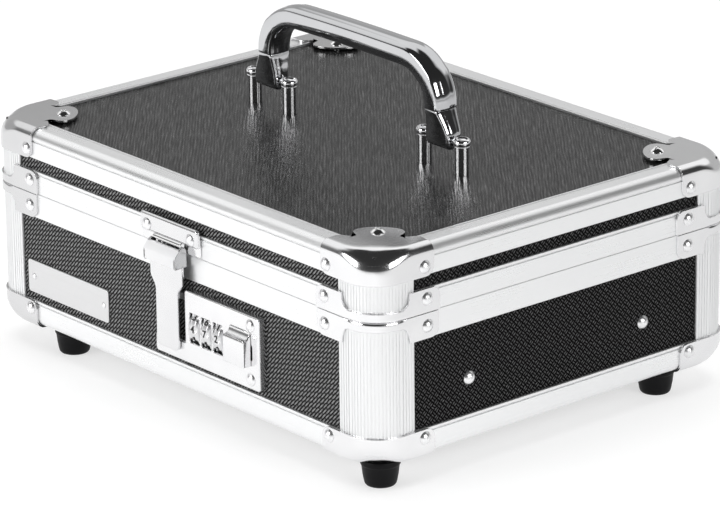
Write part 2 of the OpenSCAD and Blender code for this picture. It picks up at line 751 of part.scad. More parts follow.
module corner_screw_places() {
  for (side_x = [-1, 1], side_y = [-1, 1])
    translate([side_x * corner_screw_x, side_y * corner_screw_y, top_z + cap_t]) children();
}
module corner_screw_holes() {
  corner_screw_places() translate([0, 0, -9]) cylinder(r = 1.6, h = 20);
}
module lid_corner_screws() color("white") corner_screw_places() difference() {
  union() {
    translate([0, 0, head_gap]) dome(3.5, 1.7);
    translate([0, 0, -5]) cylinder(r = 1.5, h = 5.2);
  }
  translate([0, 0, 0.9]) cross_slot(length = 3.4, width = 0.7, turn = 20);
}

// ---------- keeper ----------
keeper_half_w = 20.4;
keeper_proud = 2.6;
keeper_screw_x = 15.2;
hasp_pin_in = -4.4;             // hasp pin line, inwards from the rail face
hasp_pin_z = part_z + 0.6;
module keeper_places() {
  for (x = [-keeper_screw_x, keeper_screw_x]) on_front(x, part_z + 8.2) children();
}
// Knuckle that holds the hasp pin, drawn as [inwards, up].
module keeper_knuckle_2d() {
  difference() {
    union() {
      translate([hasp_pin_in, hasp_pin_z]) circle(2.3);
      rect(hasp_pin_in, -0.5, hasp_pin_z - 2.3, hasp_pin_z - 0.8);
      rect(-0.9, -0.4, hasp_pin_z - 2.3, hasp_pin_z + 2.3);
    }
    translate([hasp_pin_in, hasp_pin_z]) circle(1.05);
  }
}
module keeper_plate() color("white") difference() {
  union() {
    // raised pad with folded edges
    difference() {
      front_plate(-fit, keeper_proud - fit)
        round_rect(-keeper_half_w, keeper_half_w, part_z + 5, part_z + 13.5, 1.6);
      front_plate(0, 1.4) round_rect(-19.2, 19.2, part_z + 6.2, part_z + 12.3, 0.8);
    }
    // flat tail
    box(-keeper_half_w, keeper_half_w, front_y - 0.85, front_y - fit,
      part_z + 0.5, part_z + 6);
    extrude_x([-6.4, front_y, 0], 12.8) keeper_knuckle_2d();
  }
  keeper_places() translate([0, 0, -5]) cylinder(r = fixing_hole_r, h = 12);
}
module keeper_screws() color("white") keeper_places()
  headed_pin(keeper_proud + head_gap, 2.9, 1.4, fixing_shank_r, 7.6);

// ---------- hasp ----------
hasp_half_w = 11.2;
hasp_tail_half_w = 7.6;
hasp_t = 1.2;
hasp_back = 3.5;                // back of the lever plate, outwards from the rails
module hasp_pin() color("gray") rod_x([-10.8, front_y + hasp_pin_in, hasp_pin_z], 1, 21.6);
// Section of the hood, drawn as [inwards, up] about the pin line.
module hood_2d(inset) {
  hull() {
    circle(3.45 - inset, $fn = 32);
    translate([-3.6 + inset, -6]) square([0.4, 7.4 - inset]);
    translate([-2.6 + inset, 2.2 - inset]) circle(0.6, $fn = 16);
    translate([2.8 - inset, -6]) square([0.4, 4]);
  }
}
// Hood with closed ends that carry the pin.
module hasp_hood() {
  translate([0, front_y + hasp_pin_in, hasp_pin_z]) {
    for (x = [-hasp_half_w, hasp_half_w - hasp_t]) extrude_x([x, 0, 0], hasp_t) hood_2d(0);
    extrude_x([-10.5, 0, 0], 21) difference() {
      hood_2d(0);
      hood_2d(1);
      rect(0.3, 9, -9, 9);
      rect(-2.2, 9, -9, 0);
    }
  }
}
// Plate of the lever: wide shoulder, taper, then the narrow tail; [x, z - part_z].
module hasp_lever_2d() {
  rect(-hasp_half_w, hasp_half_w, -13.6, -4.6);
  polygon([[-hasp_half_w, -13.4], [hasp_half_w, -13.4],
    [hasp_tail_half_w, -18.4], [-hasp_tail_half_w, -18.4]]);
  round_rect(-hasp_tail_half_w, hasp_tail_half_w, -45.4, -16, 2.6);
}
module hasp() color("white") difference() {
  union() {
    hasp_hood();
    extrude_y([0, front_y - hasp_back, part_z], hasp_t) hasp_lever_2d();
    // web between the hood and the lever
    box(-hasp_half_w, hasp_half_w, front_y - 7.9, front_y - hasp_back,
      part_z - 6.4, part_z - 5.1);
    // folded edges and the tongue that the bolt holds
    for (side = [-1, 1])
      box(side * 7.1 - 0.5, side * 7.1 + 0.5, front_y - 3.9, front_y - 2.95,
        part_z - 42, part_z - 18);
    box(-3.9, 3.9, front_y - 3.8, front_y - 0.4, part_z - 25, part_z - 19.6);
  }
  rod_x([-20, front_y + hasp_pin_in, hasp_pin_z], 1.06, 40);
}

// ---------- lid pad ----------
module lid_foam() color("#3c3c3c") difference() {
  translate([0, 0, top_z - 17.6]) linear_extrude(13.2) difference() {
    rect(left_x + top_flange + 1, half_w - top_flange - 1,
      front_y + top_flange + 1, half_d - top_flange - 1);
    corners() rect(-1, post_leg + 1, -1, post_leg + 1);
  }
  // pockets for the handle's backing plates and nuts
  for (side = [-1, 1])
    box(side * mount_x - 24, side * mount_x + 24, -13, 13, top_z - 12, top_z);
}

// ---------- handle mounts ----------
pivot_h = 12.8;                 // handle pin above the lid frame
pivot_z = top_z + pivot_h;
pivot_r = 1.6;
stud_r = 2;
stud_hole_r = 2.1;
module handle_post_places(z) {
  for (mount = [-1, 1], post = [-1, 1])
    translate([mount * mount_x + post * post_gap / 2, 0, z]) children();
}
// Post in half section, [radius, up]: threaded stud, shaft, collar and domed end.
module handle_post_2d() {
  collar_r = post_d / 2 + 0.4;
  rect(0, stud_r, -7.4, 0);
  rect(0, post_d / 2, 0, 14.3);
  rect(0, collar_r, 14.3, 15);
  intersection() {
    translate([0, 16.5 - 7]) circle(7);
    rect(0, collar_r, 15, 17);
  }
}
module handle_posts() color("white") handle_post_places(top_z - rail_t) difference() {
  rotate(50) rotate_extrude() handle_post_2d();
  rod_x([-20, 0, pivot_h + rail_t], pivot_r + 0.02, 40);
}
module handle_backing_plates() color("silver") difference() {
  for (side = [-1, 1])
    translate([side * mount_x, 0, top_z - 5.6]) linear_extrude(1.25)
      round_rect(-20, 20, -8, 8, 3);
  handle_post_places(top_z - 9) cylinder(r = stud_hole_r, h = 9);
}
module handle_nuts() color("gray") handle_post_places(top_z - 8.4) difference() {
  cylinder(r = 4, h = 2.75, $fn = 6);
  translate([0, 0, -1]) cylinder(r = stud_r + 0.03, h = 5);
}
module handle_pins() color("gray") for (side = [-1, 1])
  rod_x([side * mount_x - post_gap / 2 - 2.6, 0, pivot_z], pivot_r, post_gap + 5.2);

// ---------- handle grip ----------
leg_x = 57.6;                   // centre line of the handle's legs
bend_r = 20;
module grip_2d() { round_rect(-grip_t / 2, grip_t / 2, -grip_w / 2, grip_w / 2, 3.2); }
module handle_half() {
  bend_z = top_z + grip_h - grip_t / 2 - bend_r;
  eye_half_w = post_gap / 2 - post_d / 2 - 0.6;
  eye_x0 = mount_x - eye_half_w + 0.2;
  eye_x1 = mount_x + eye_half_w - 0.2;
  // bend and leg
  translate([leg_x - bend_r, 0, bend_z]) rotate([90, 0, 0])
    rotate_extrude(angle = 90) translate([bend_r, 0]) grip_2d();
  translate([leg_x, 0, top_z + 26]) linear_extrude(bend_z - top_z - 26) grip_2d();
  // lower leg, which widens into the eye between the posts
  translate([leg_x, 0, top_z + 18]) linear_extrude(8.5)
    round_rect(-grip_t / 2 + 0.35, grip_t / 2 - 0.35, -4.3, 4.3, 2.4);
  extrude_y([0, 3.9, 0], 7.8) polygon([
    [eye_x0, top_z + 15], [eye_x1, top_z + 15], [eye_x1, top_z + 18.5],
    [leg_x + grip_t / 2 - 0.5, top_z + 23.5], [leg_x - grip_t / 2 + 0.5, top_z + 24.5],
    [eye_x0, top_z + 18.9]]);
  extrude_x([mount_x - eye_half_w, 0, 0], 2 * eye_half_w) {
    translate([0, pivot_z]) circle(4);
    rect(-4, 4, pivot_z, top_z + 18.2);
  }
}
module handle_grip() color("white") difference() {
  union() {
    translate([-leg_x + bend_r, 0, top_z + grip_h - grip_t / 2]) rotate([0, 90, 0])
      linear_extrude(2 * (leg_x - bend_r)) grip_2d();
    both_x() handle_half();
  }
  for (side = [-1, 1]) rod_x([side * mount_x - 20, 0, pivot_z], pivot_r + 0.06, 40);
}

base_front_panel();
base_rear_panel();
base_left_panel();
base_right_panel();
base_bottom_panel();
base_bottom_rails_front_rear();
base_bottom_rails_sides();
base_upper_rails_front_rear();
base_upper_rails_sides();
base_corner_posts();
base_bottom_corner_caps();
base_upper_corner_caps();
base_rivets();
ledge_rivets();
side_ledges();
tray();
tray_foam();
floor_foam();
rubber_feet();
foot_screws();
nameplate();
nameplate_pins();
lock_plate();
lock_rivets();
lock_housing();
dial_shaft();
bolt_spring();
hinge_base_leaves();
hinge_pins();
lid_top_panel();
lid_front_panel();
lid_rear_panel();
lid_left_panel();
lid_right_panel();
lid_top_rails_front_rear();
lid_top_rails_sides();
lid_lower_rails_front_rear();
lid_lower_rails_sides();
lid_corner_posts();
lid_top_corner_caps();
lid_lower_corner_caps();
lid_rivets();
lid_corner_screws();
keeper_plate();
keeper_screws();
hasp_pin();
hinge_lid_leaves();
lid_foam();
handle_posts();
handle_backing_plates();
handle_nuts();
handle_pins();
handle_grip();
hasp();
release_button();
lock_bolt();
dial_1();
dial_2();
dial_3();
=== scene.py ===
"""Looks of a small aluminium-framed hard case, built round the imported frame."""
import math

import bpy
import bmesh
from mathutils import Matrix, Vector


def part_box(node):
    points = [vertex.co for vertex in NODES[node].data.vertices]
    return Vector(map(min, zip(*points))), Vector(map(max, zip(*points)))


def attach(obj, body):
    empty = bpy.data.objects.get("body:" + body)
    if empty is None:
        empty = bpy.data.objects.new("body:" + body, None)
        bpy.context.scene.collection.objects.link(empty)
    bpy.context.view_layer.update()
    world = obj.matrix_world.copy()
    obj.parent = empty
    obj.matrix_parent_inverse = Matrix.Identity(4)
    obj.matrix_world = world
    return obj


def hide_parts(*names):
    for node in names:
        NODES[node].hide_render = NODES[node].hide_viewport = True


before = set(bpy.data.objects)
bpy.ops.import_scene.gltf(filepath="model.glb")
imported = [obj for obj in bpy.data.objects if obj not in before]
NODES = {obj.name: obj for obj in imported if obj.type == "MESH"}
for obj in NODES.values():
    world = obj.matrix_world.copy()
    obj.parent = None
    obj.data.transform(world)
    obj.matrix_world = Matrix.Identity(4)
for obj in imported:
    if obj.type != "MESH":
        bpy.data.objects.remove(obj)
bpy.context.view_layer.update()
MM = 0.001
col = bpy.context.scene.collection


def bmm(name):
    lo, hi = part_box(name)
    return lo / MM, hi / MM


# ---- the main sizes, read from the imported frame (mm) ----
HX = bmm("lid_top_rails_sides")[1].x
HY = bmm("lid_top_rails_front_rear")[1].y
ZB = bmm("base_bottom_rails_sides")[0].z
ZP = bmm("lid_lower_rails_sides")[0].z - 0.15
ZT = bmm("lid_top_rails_sides")[1].z
ZPIV = (bmm("handle_pins")[0].z + bmm("handle_pins")[1].z) / 2
DIALS = [bmm("dial_%d" % i) for i in (1, 2, 3)]
CR = 15.0
CAPN = 1.0


# ======================================================================
# materials
# ======================================================================
class Tree:
    def __init__(self, tree):
        self.t = tree

    def add(self, kind, ins=None, **attrs):
        n = self.t.nodes.new(kind)
        for k, v in attrs.items():
            setattr(n, k, v)
        for k, v in (ins or {}).items():
            self.put(n.inputs[k], v)
        return n

    def put(self, socket, v):
        if hasattr(v, "is_output") or isinstance(v, bpy.types.NodeSocket):
            self.t.links.new(v, socket)
        else:
            socket.default_value = v

    def math(self, op, a, b=0.0, c=None, clamp=False):
        n = self.t.nodes.new("ShaderNodeMath")
        n.operation = op
        n.use_clamp = clamp
        self.put(n.inputs[0], a)
        self.put(n.inputs[1], b)
        if c is not None:
            self.put(n.inputs[2], c)
        return n.outputs[0]

    def mix(self, f, a, b):
        n = self.t.nodes.new("ShaderNodeMix")
        n.data_type = "RGBA"
        self.put(n.inputs[0], f)
        self.put(n.inputs[6], a)
        self.put(n.inputs[7], b)
        return n.outputs[2]

    def ramp(self, f, stops, mode="LINEAR"):
        n = self.t.nodes.new("ShaderNodeValToRGB")
        n.color_ramp.interpolation = mode
        e = n.color_ramp.elements
        while len(e) < len(stops):
            e.new(0.5)
        for k, (p, c) in enumerate(stops):
            e[k].position = p
            e[k].color = (c, c, c, 1) if not isinstance(c, tuple) else (*c, 1)
        self.put(n.inputs[0], f)
        return n.outputs[0]

    def coords(self, scale=(1, 1, 1), rot=(0, 0, 0)):
        tc = self.add("ShaderNodeTexCoord")
        m = self.add("ShaderNodeMapping", {"Vector": tc.outputs["Object"], "Scale": scale, "Rotation": rot})
        return m.outputs[0]

    def noise(self, vec, scale=1.0, detail=2.0, rough=0.5):
        n = self.add("ShaderNodeTexNoise", {"Vector": vec, "Scale": scale, "Detail": detail, "Roughness": rough})
        return n.outputs["Fac"]

    def bevel(self, r, samples=4):
        return self.add("ShaderNodeBevel", {"Radius": r}, samples=samples).outputs[0]

    def bump(self, h, dist, normal=None, strength=1.0):
        ins = {"Height": h, "Distance": dist, "Strength": strength}
        if normal is not None:
            ins["Normal"] = normal
        return self.add("ShaderNodeBump", ins).outputs[0]

    def finish(self, **ins):
        out = self.add("ShaderNodeOutputMaterial")
        names = {"color": "Base Color", "metallic": "Metallic", "rough": "Roughness", "normal": "Normal",
                 "spec": "Specular IOR Level", "coat": "Coat Weight", "coat_rough": "Coat Roughness",
                 "aniso": "Anisotropic", "sheen": "Sheen Weight", "ior": "IOR"}
        b = self.add("ShaderNodeBsdfPrincipled", {names[k]: v for k, v in ins.items()})
        self.t.links.new(b.outputs[0], out.inputs[0])
        return b


def new_mat(name):
    m = bpy.data.materials.new(name)
    m.use_nodes = True
    m.node_tree.nodes.clear()
    return m, Tree(m.node_tree)


def m_brushed(name, axis, color=(0.93, 0.935, 0.94), rough=0.3, depth=0.000006, edge=0.0005, wide_k=0.16):
    """Satin drawn aluminium with fine lines along one axis and slightly polished edges."""
    m, t = new_mat(name)
    s = [2600.0, 2600.0, 2600.0]
    s[axis] = 9.0
    v = t.coords(tuple(s))
    lines = t.noise(v, 1.0, 3.0, 0.65)
    s2 = [700.0, 700.0, 700.0]
    s2[axis] = 3.0
    wide = t.noise(t.coords(tuple(s2)), 1.0, 2.0)
    cloud = t.noise(t.coords((22, 22, 22)), 1.0, 3.0)
    r = t.math("ADD", t.math("MULTIPLY", lines, 0.14), rough - 0.07)
    r = t.math("ADD", r, t.math("MULTIPLY", t.math("SUBTRACT", cloud, 0.5), 0.12))
    tone = t.math("ADD", t.math("MULTIPLY", wide, wide_k), 1.0 - wide_k / 2)
    c = t.mix(tone, (color[0] * 0.72, color[1] * 0.72, color[2] * 0.73, 1), (*color, 1))
    n = t.bump(t.math("ADD", lines, t.math("MULTIPLY", wide, 2.0)), depth, t.bevel(edge))
    t.finish(color=c, metallic=0.86, rough=r, normal=n)
    return m


def m_plated(name, color=(0.9, 0.9, 0.9), rough=0.09, ripple=0.000012, wear=0.35, edge=0.0003, metal=1.0, left_painted_shade=0.0):
    """Bright plated pressed steel: faint orange peel, hairline scratches and dull patches."""
    m, t = new_mat(name)
    v = t.coords((1, 1, 1))
    peel = t.noise(v, 420.0, 2.0)
    big = t.noise(v, 45.0, 2.0)
    scratch = t.noise(t.coords((3000, 90, 1500), (0.4, 0.3, 0.7)), 1.0, 2.0)
    scratch = t.ramp(scratch, [(0.62, 0.0), (0.78, 1.0)])
    r = t.math("ADD", rough, t.math("MULTIPLY", t.math("MULTIPLY", big, scratch), wear * 0.4))
    r = t.math("ADD", r, t.math("MULTIPLY", t.ramp(big, [(0.45, 0.0), (0.75, 1.0)]), 0.05))
    h = t.math("ADD", peel, t.math("MULTIPLY", big, 2.5))
    n = t.bump(h, ripple, t.bevel(edge))
    c = t.mix(t.ramp(big, [(0.3, 0.0), (0.8, 1.0)]), (*color, 1), (color[0] * 0.93, color[1] * 0.93, color[2] * 0.94, 1))
    if left_painted_shade:
        # painted shade: the colour turns greyer towards -X, so the left-hand corners look darker
        sx = t.add("ShaderNodeSeparateXYZ", {0: t.add("ShaderNodeTexCoord").outputs["Object"]}).outputs[0]
        k = t.ramp(t.math("ADD", t.math("MULTIPLY", sx, 3.0), 0.5), [(0.1, 1.0), (0.6, 0.0)])
        c = t.mix(t.math("MULTIPLY", k, left_painted_shade), c, (0.5, 0.5, 0.505, 1))
    t.finish(color=c, metallic=metal, rough=r, normal=n)
    return m


def m_weave(name, plane, ground, crest_highlight_c, par_thread_highlight, spec, p, run, twill=False):
    """Black embossed laminate with a diagonal basket weave: painted highlights on the thread crests over a dark ground.
    """
    m, t = new_mat(name)
    tc = t.add("ShaderNodeTexCoord")
    sep = t.add("ShaderNodeSeparateXYZ", {0: tc.outputs["Object"]})
    a, b = {"xz": (0, 2), "yz": (1, 2), "xy": (0, 1)}[plane]
    uv = t.add("ShaderNodeCombineXYZ", {0: sep.outputs[a], 1: sep.outputs[b], 2: 0.0}).outputs[0]
    rot = t.add("ShaderNodeMapping", {"Vector": uv, "Rotation": (0, 0, math.radians(45)), "Scale": (1000, 1000, 1000)}).outputs[0]
    warp = t.noise(rot, 0.35, 1.0)
    s = t.add("ShaderNodeSeparateXYZ", {0: rot})
    off = t.math("MULTIPLY", t.math("SUBTRACT", warp, 0.5), 0.5)
    u = t.math("DIVIDE", t.math("ADD", s.outputs[0], off), p)
    w = t.math("DIVIDE", t.math("SUBTRACT", s.outputs[1], off), p)
    # cells two threads wide alternate between threads along u and threads along w
    iu = t.math("FLOOR", t.math("MULTIPLY", u, 0.5))
    iw = t.math("FLOOR", t.math("MULTIPLY", w, 1.0 / run))
    par = t.math("PINGPONG", t.math("ADD", iu, iw), 1.0)
    fu = t.math("FRACT", u)
    fw = t.math("FRACT", w)
    cu = t.math("FRACT", t.math("MULTIPLY", u, 0.5))
    cw = t.math("FRACT", t.math("MULTIPLY", w, 1.0 / run))

    def crest(f):
        return t.math("SINE", t.math("MULTIPLY", f, math.pi))

    inv = t.math("SUBTRACT", 1.0, par)
    if twill:
        # every thread shows as a long dash along one diagonal, shifted by half a dash from thread to thread
        shift = t.math("MULTIPLY", t.math("PINGPONG", t.math("FLOOR", u), 1.0), 0.5)
        cd = t.math("FRACT", t.math("ADD", t.math("MULTIPLY", w, 1.0 / run), shift))
        h = t.math("MULTIPLY", t.math("POWER", crest(fu), 1.3), t.math("POWER", crest(cd), 0.3))
    else:
        ta = t.math("MULTIPLY", t.math("POWER", crest(fw), 1.2), t.math("POWER", crest(cu), 0.5))
        tb = t.math("MULTIPLY", t.math("POWER", crest(fu), 1.2), t.math("POWER", crest(cw), 0.5))
        h = t.math("ADD", t.math("MULTIPLY", ta, par), t.math("MULTIPLY", tb, inv))
    grain = t.noise(rot, 1.3, 2.0)
    # painted highlight: the colour is lightened on the thread crests, scaled down on the threads running one way
    light = t.math("POWER", h, 2.5)
    light = t.math("MULTIPLY", light, t.math("ADD", t.math("MULTIPLY", par, par_thread_highlight), t.math("MULTIPLY", inv, 1.0)))
    light = t.math("MULTIPLY", light, t.math("ADD", -0.1, t.math("MULTIPLY", grain, 2.0)), clamp=True)
    c = t.mix(light, (ground, ground, ground, 1), (crest_highlight_c, crest_highlight_c, crest_highlight_c * 1.01, 1))
    r = t.math("ADD", 0.42, t.math("MULTIPLY", t.math("SUBTRACT", 1.0, h), 0.3))
    sp = t.math("MULTIPLY", t.math("ADD", 0.15, t.math("MULTIPLY", light, 1.4)), spec)
    n = t.bump(t.math("ADD", h, t.math("MULTIPLY", grain, 0.15)), 0.00028, t.bevel(0.0003), 0.9)
    t.finish(color=c, rough=r, normal=n, spec=sp)
    return m


def m_top(name):
    """Dark grey laminate of the lid, semi-gloss, with fine wavy embossed lines; the light and dark lines, dashes and
    streaks in its colour are painted reflections off the embossing.
    """
    m, t = new_mat(name)
    tc = t.add("ShaderNodeTexCoord")
    mp = t.add("ShaderNodeMapping", {"Vector": tc.outputs["Object"], "Rotation": (0, 0, math.radians(40)), "Scale": (1000, 1000, 1000)}).outputs[0]
    s = t.add("ShaderNodeSeparateXYZ", {0: mp})
    wob = t.noise(t.add("ShaderNodeMapping", {"Vector": mp, "Scale": (0.05, 0.2, 1)}).outputs[0], 1.0, 2.0)
    line = t.math("SINE", t.math("MULTIPLY", t.math("ADD", s.outputs[1], t.math("MULTIPLY", wob, 2.2)), 2 * math.pi / 1.35))
    painted_reflection_streak = t.noise(t.add("ShaderNodeMapping", {"Vector": mp, "Scale": (0.075, 0.95, 1)}).outputs[0], 1.0, 3.0, 0.6)
    dash = t.ramp(t.noise(t.add("ShaderNodeMapping", {"Vector": mp, "Scale": (0.14, 0.8, 1), "Location": (5, 9, 0)}).outputs[0], 1.0, 2.0), [(0.42, 0.0), (0.66, 1.0)])
    fine = t.noise(mp, 1.6, 3.0, 0.6)
    patch = t.noise(mp, 0.02, 2.0)
    amp = t.math("ADD", 0.45, t.math("MULTIPLY", dash, 0.9))
    # painted reflection: light and dark lines, dashes and streaks along the view direction go into the colour
    k = t.math("ADD", t.math("MULTIPLY", t.math("MULTIPLY", line, amp), 0.13), t.math("ADD", t.math("MULTIPLY", painted_reflection_streak, 0.75), t.math("MULTIPLY", fine, 0.22)))
    c = t.ramp(k, [(0.30, 0.002), (0.46, 0.010), (0.60, 0.026), (0.8, 0.075)])
    r = t.math("ADD", 0.17, t.math("MULTIPLY", fine, 0.12))
    r = t.math("ADD", r, t.math("MULTIPLY", patch, 0.05))
    h = t.math("ADD", t.math("MULTIPLY", t.math("MULTIPLY", line, amp), 0.45), t.math("MULTIPLY", fine, 0.55))
    n = t.bump(h, 0.00007, t.bevel(0.0003), 0.8)
    sp = t.ramp(k, [(0.32, 0.15), (0.5, 0.25), (0.68, 0.42)])
    t.finish(color=c, rough=r, normal=n, spec=sp)
    return m


def m_plastic(name, color, rough, grain=500.0, depth=0.00003, spec=0.5, dust=0.0):
    m, t = new_mat(name)
    v = t.coords((1, 1, 1))
    g = t.noise(v, grain, 3.0, 0.6)
    p = t.noise(v, 14.0, 3.0)
    c = t.mix(p, (*color, 1), (color[0] * 1.25 + dust, color[1] * 1.25 + dust, color[2] * 1.25 + dust, 1))
    r = t.math("ADD", rough, t.math("MULTIPLY", t.math("SUBTRACT", p, 0.5), 0.18))
    t.finish(color=c, rough=r, normal=t.bump(g, depth, t.bevel(0.0004)), spec=spec)
    return m


def m_foam(name, color):
    m, t = new_mat(name)
    v = t.coords((1, 1, 1))
    vo = t.add("ShaderNodeTexVoronoi", {"Vector": v, "Scale": 950.0})
    cell = t.ramp(vo.outputs["Distance"], [(0.05, 0.0), (0.5, 1.0)])
    p = t.noise(v, 30.0, 3.0)
    # painted shade: the colour darkens in the pits of the foam cells, where the bump sinks
    c = t.mix(t.math("MULTIPLY", cell, t.math("ADD", 0.6, t.math("MULTIPLY", p, 0.6))), (color[0] * 0.4, color[1] * 0.4, color[2] * 0.4, 1), (*color, 1))
    h = t.math("ADD", cell, t.math("MULTIPLY", p, 1.5))
    t.finish(color=c, rough=0.92, normal=t.bump(h, 0.00025, t.bevel(0.0008)), spec=0.2, sheen=0.15)
    return m


M = {
    "rail_x": m_brushed("drawn_aluminium_x", 0),
    "rail_y": m_brushed("drawn_aluminium_y", 1),
    "post": m_brushed("drawn_aluminium_z", 2, rough=0.4, depth=0.000001, edge=0.0016, wide_k=0.05),
    "nickel": m_plated("plated_steel"),
    # the last argument paints shade on the left-hand corners by greying their colour
    "cap": m_plated("pressed_caps", (0.9, 0.9, 0.905), 0.15, 0.00001, 0.3, 0.0003, 1.0, 0.55),
    "hood": m_plated("pressed_hood", (0.88, 0.88, 0.885), 0.42, 0.00006, 0.5, 0.0004, 0.35),
    "wheel": m_plated("number_wheels", (0.8, 0.8, 0.805), 0.3, 0.00001, 0.3, 0.0003),
    "grip": m_plated("dark_chrome", (0.62, 0.625, 0.635), 0.05, 0.000003, 0.15, 0.0004),
    "rivet": m_plated("rivet_aluminium", (0.94, 0.94, 0.945), 0.3, 0.00001, 0.3, 0.0003),
    "lever": m_plated("pressed_lever", (0.83, 0.83, 0.835), 0.2, 0.00002, 0.3, 0.0004),
    # painted shade: the hood's side cheeks are the hood's steel, given a darker colour
    "cheek": m_plated("pressed_cheek", (0.60, 0.60, 0.605), 0.22, 0.00003, 0.4, 0.0003),
    "chrome": m_plated("mirror_chrome", (0.93, 0.93, 0.94), 0.03, 0.000004, 0.15, 0.0002),
    "lockplate": m_plated("plated_die_casting", (0.9, 0.9, 0.905), 0.2, 0.00002, 0.3, 0.0004),
    "zinc": m_plated("zinc_steel", (0.62, 0.63, 0.64), 0.32, 0.00003, 0.5, 0.0003),
    # the crest colour is a painted highlight, strongest on the front weave, weaker on the bottom and weakest on the
    # sides; the side ground is also the darkest
    "weave_x": m_weave("weave_front", "xz", 0.006, 0.33, 1.0, 0.35, 1.35, 3.1, True),
    "weave_y": m_weave("weave_side", "yz", 0.0004, 0.125, 0.85, 0.04, 1.2, 2.0),
    "weave_b": m_weave("weave_bottom", "xy", 0.008, 0.2, 0.6, 0.4, 1.3, 2.0),
    "top": m_top("lid_laminate"),
    "rubber": m_plastic("moulded_rubber", (0.0035, 0.0035, 0.004), 0.5, 900.0, 0.00002, 0.14),
    "tray": m_plastic("tray_plastic", (0.028, 0.028, 0.03), 0.5, 700.0, 0.00006, 0.4),
    "foam": m_foam("cell_foam", (0.05, 0.05, 0.052)),
    "plate": m_brushed("nameplate_brushed", 0, (0.74, 0.74, 0.745), 0.36, 0.000012, 0.0002),
    "dark": m_plastic("dark_paint", (0.01, 0.01, 0.01), 0.6),
}

cad_mats = {
    "weave_x": ["base_front_panel", "base_rear_panel", "lid_front_panel", "lid_rear_panel"],
    "weave_y": ["base_left_panel", "base_right_panel", "lid_left_panel", "lid_right_panel"],
    "weave_b": ["base_bottom_panel"],
    "top": ["lid_top_panel"],
    "rail_x": ["base_bottom_rails_front_rear", "base_upper_rails_front_rear", "lid_top_rails_front_rear", "lid_lower_rails_front_rear"],
    "rail_y": ["base_bottom_rails_sides", "base_upper_rails_sides", "lid_top_rails_sides", "lid_lower_rails_sides", "side_ledges"],
    "post": ["base_corner_posts", "lid_corner_posts"],
    "rivet": ["base_rivets", "ledge_rivets", "lid_rivets", "keeper_screws", "lock_rivets", "nameplate_pins"],
    "nickel": ["base_bottom_corner_caps", "base_upper_corner_caps", "lid_top_corner_caps", "lid_lower_corner_caps", "lid_corner_screws",
               "hinge_base_leaves", "hinge_lid_leaves", "keeper_plate", "hasp", "release_button"],
    "lockplate": ["lock_plate"],
    "chrome": ["handle_posts", "handle_grip", "dial_1", "dial_2", "dial_3"],
    "zinc": ["foot_screws", "lock_housing", "dial_shaft", "bolt_spring", "hinge_pins", "hasp_pin", "handle_backing_plates",
             "handle_nuts", "handle_pins", "lock_bolt"],
    "rubber": ["rubber_feet"],
    "tray": ["tray"],
    "foam": ["tray_foam", "floor_foam", "lid_foam"],
    "plate": ["nameplate"],
}
for key, names in cad_mats.items():
    for nm in names:
        d = NODES[nm].data
        d.materials.clear()
        d.materials.append(M[key])


# ======================================================================
# mesh helpers (all in mm, written to the mesh in metres)
# ======================================================================
def add_obj(name, bm, mat, sharp=35.0, mods=()):
    me = bpy.data.meshes.new(name)
    for v in bm.verts:
        v.co = v.co * MM
    bm.to_mesh(me)
    bm.free()
    me.materials.append(M[mat])
    me.shade_smooth()
    me.set_sharp_from_angle(angle=math.radians(sharp))
    ob = bpy.data.objects.new(name, me)
    col.objects.link(ob)
    for kind, opts in mods:
        md = ob.modifiers.new(kind.lower(), kind)
        for k, v in opts.items():
            setattr(md, k, v)
    return ob


def bevel_mod(w=0.3, seg=2, angle=35.0):
    return ("BEVEL", {"width": w * MM, "segments": seg, "limit_method": "ANGLE", "angle_limit": math.radians(angle), "harden_normals": True})


def solid_mod(t):
    return ("SOLIDIFY", {"thickness": t * MM, "offset": -1.0, "use_even_offset": True, "use_quality_normals": True})


def place(ob, body, slot, *nodes):
    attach(ob, body)
    if nodes:
        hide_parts(*nodes)
    return ob


def grid_faces(bm, rows, flip=False):
    """rows: list of rows of points; quads between them. Returns the vertex rows."""
    vr = [[bm.verts.new(p) for p in row] for row in rows]
    for i in range(len(vr) - 1):
        for j in range(len(vr[i]) - 1):
            q = [vr[i][j], vr[i][j + 1], vr[i + 1][j + 1], vr[i + 1][j]]
            if flip:
                q.reverse()
            bm.faces.new(q)
    return vr


def corner_map(sx, sy):
    return lambda p: Vector((sx * (HX - p[0]), sy * (HY - p[1]), p[2]))


def four_corners(make, t=0.93):
    """A pressed shell of thickness t, drawn at a corner with +X and +Y inwards, at all four corners of the case."""
    bm = bmesh.new()
    outer, inner = make(0.0), make(t)
    for sx in (-1, 1):
        for sy in (-1, 1):
            f = corner_map(sx, sy)
            a = [[bm.verts.new(f(p)) for p in row] for row in outer]
            b = [[bm.verts.new(f(p)) for p in row] for row in inner]
            n, m = len(a), len(a[0])
            quads = []
            for i in range(n - 1):
                for j in range(m - 1):
                    quads.append((a[i][j], a[i][j + 1], a[i + 1][j + 1], a[i + 1][j]))
                    quads.append((b[i][j], b[i + 1][j], b[i + 1][j + 1], b[i][j + 1]))
            for j in range(m - 1):
                quads.append((a[0][j], b[0][j], b[0][j + 1], a[0][j + 1]))
                quads.append((a[-1][j], a[-1][j + 1], b[-1][j + 1], b[-1][j]))
            for i in range(n - 1):
                quads.append((a[i][0], a[i + 1][0], b[i + 1][0], b[i][0]))
                quads.append((a[i][-1], b[i][-1], b[i + 1][-1], a[i + 1][-1]))
            for q in quads:
                bm.faces.new(q)
    bmesh.ops.recalc_face_normals(bm, faces=bm.faces)
    return bm


HA = CR * math.pi / 4


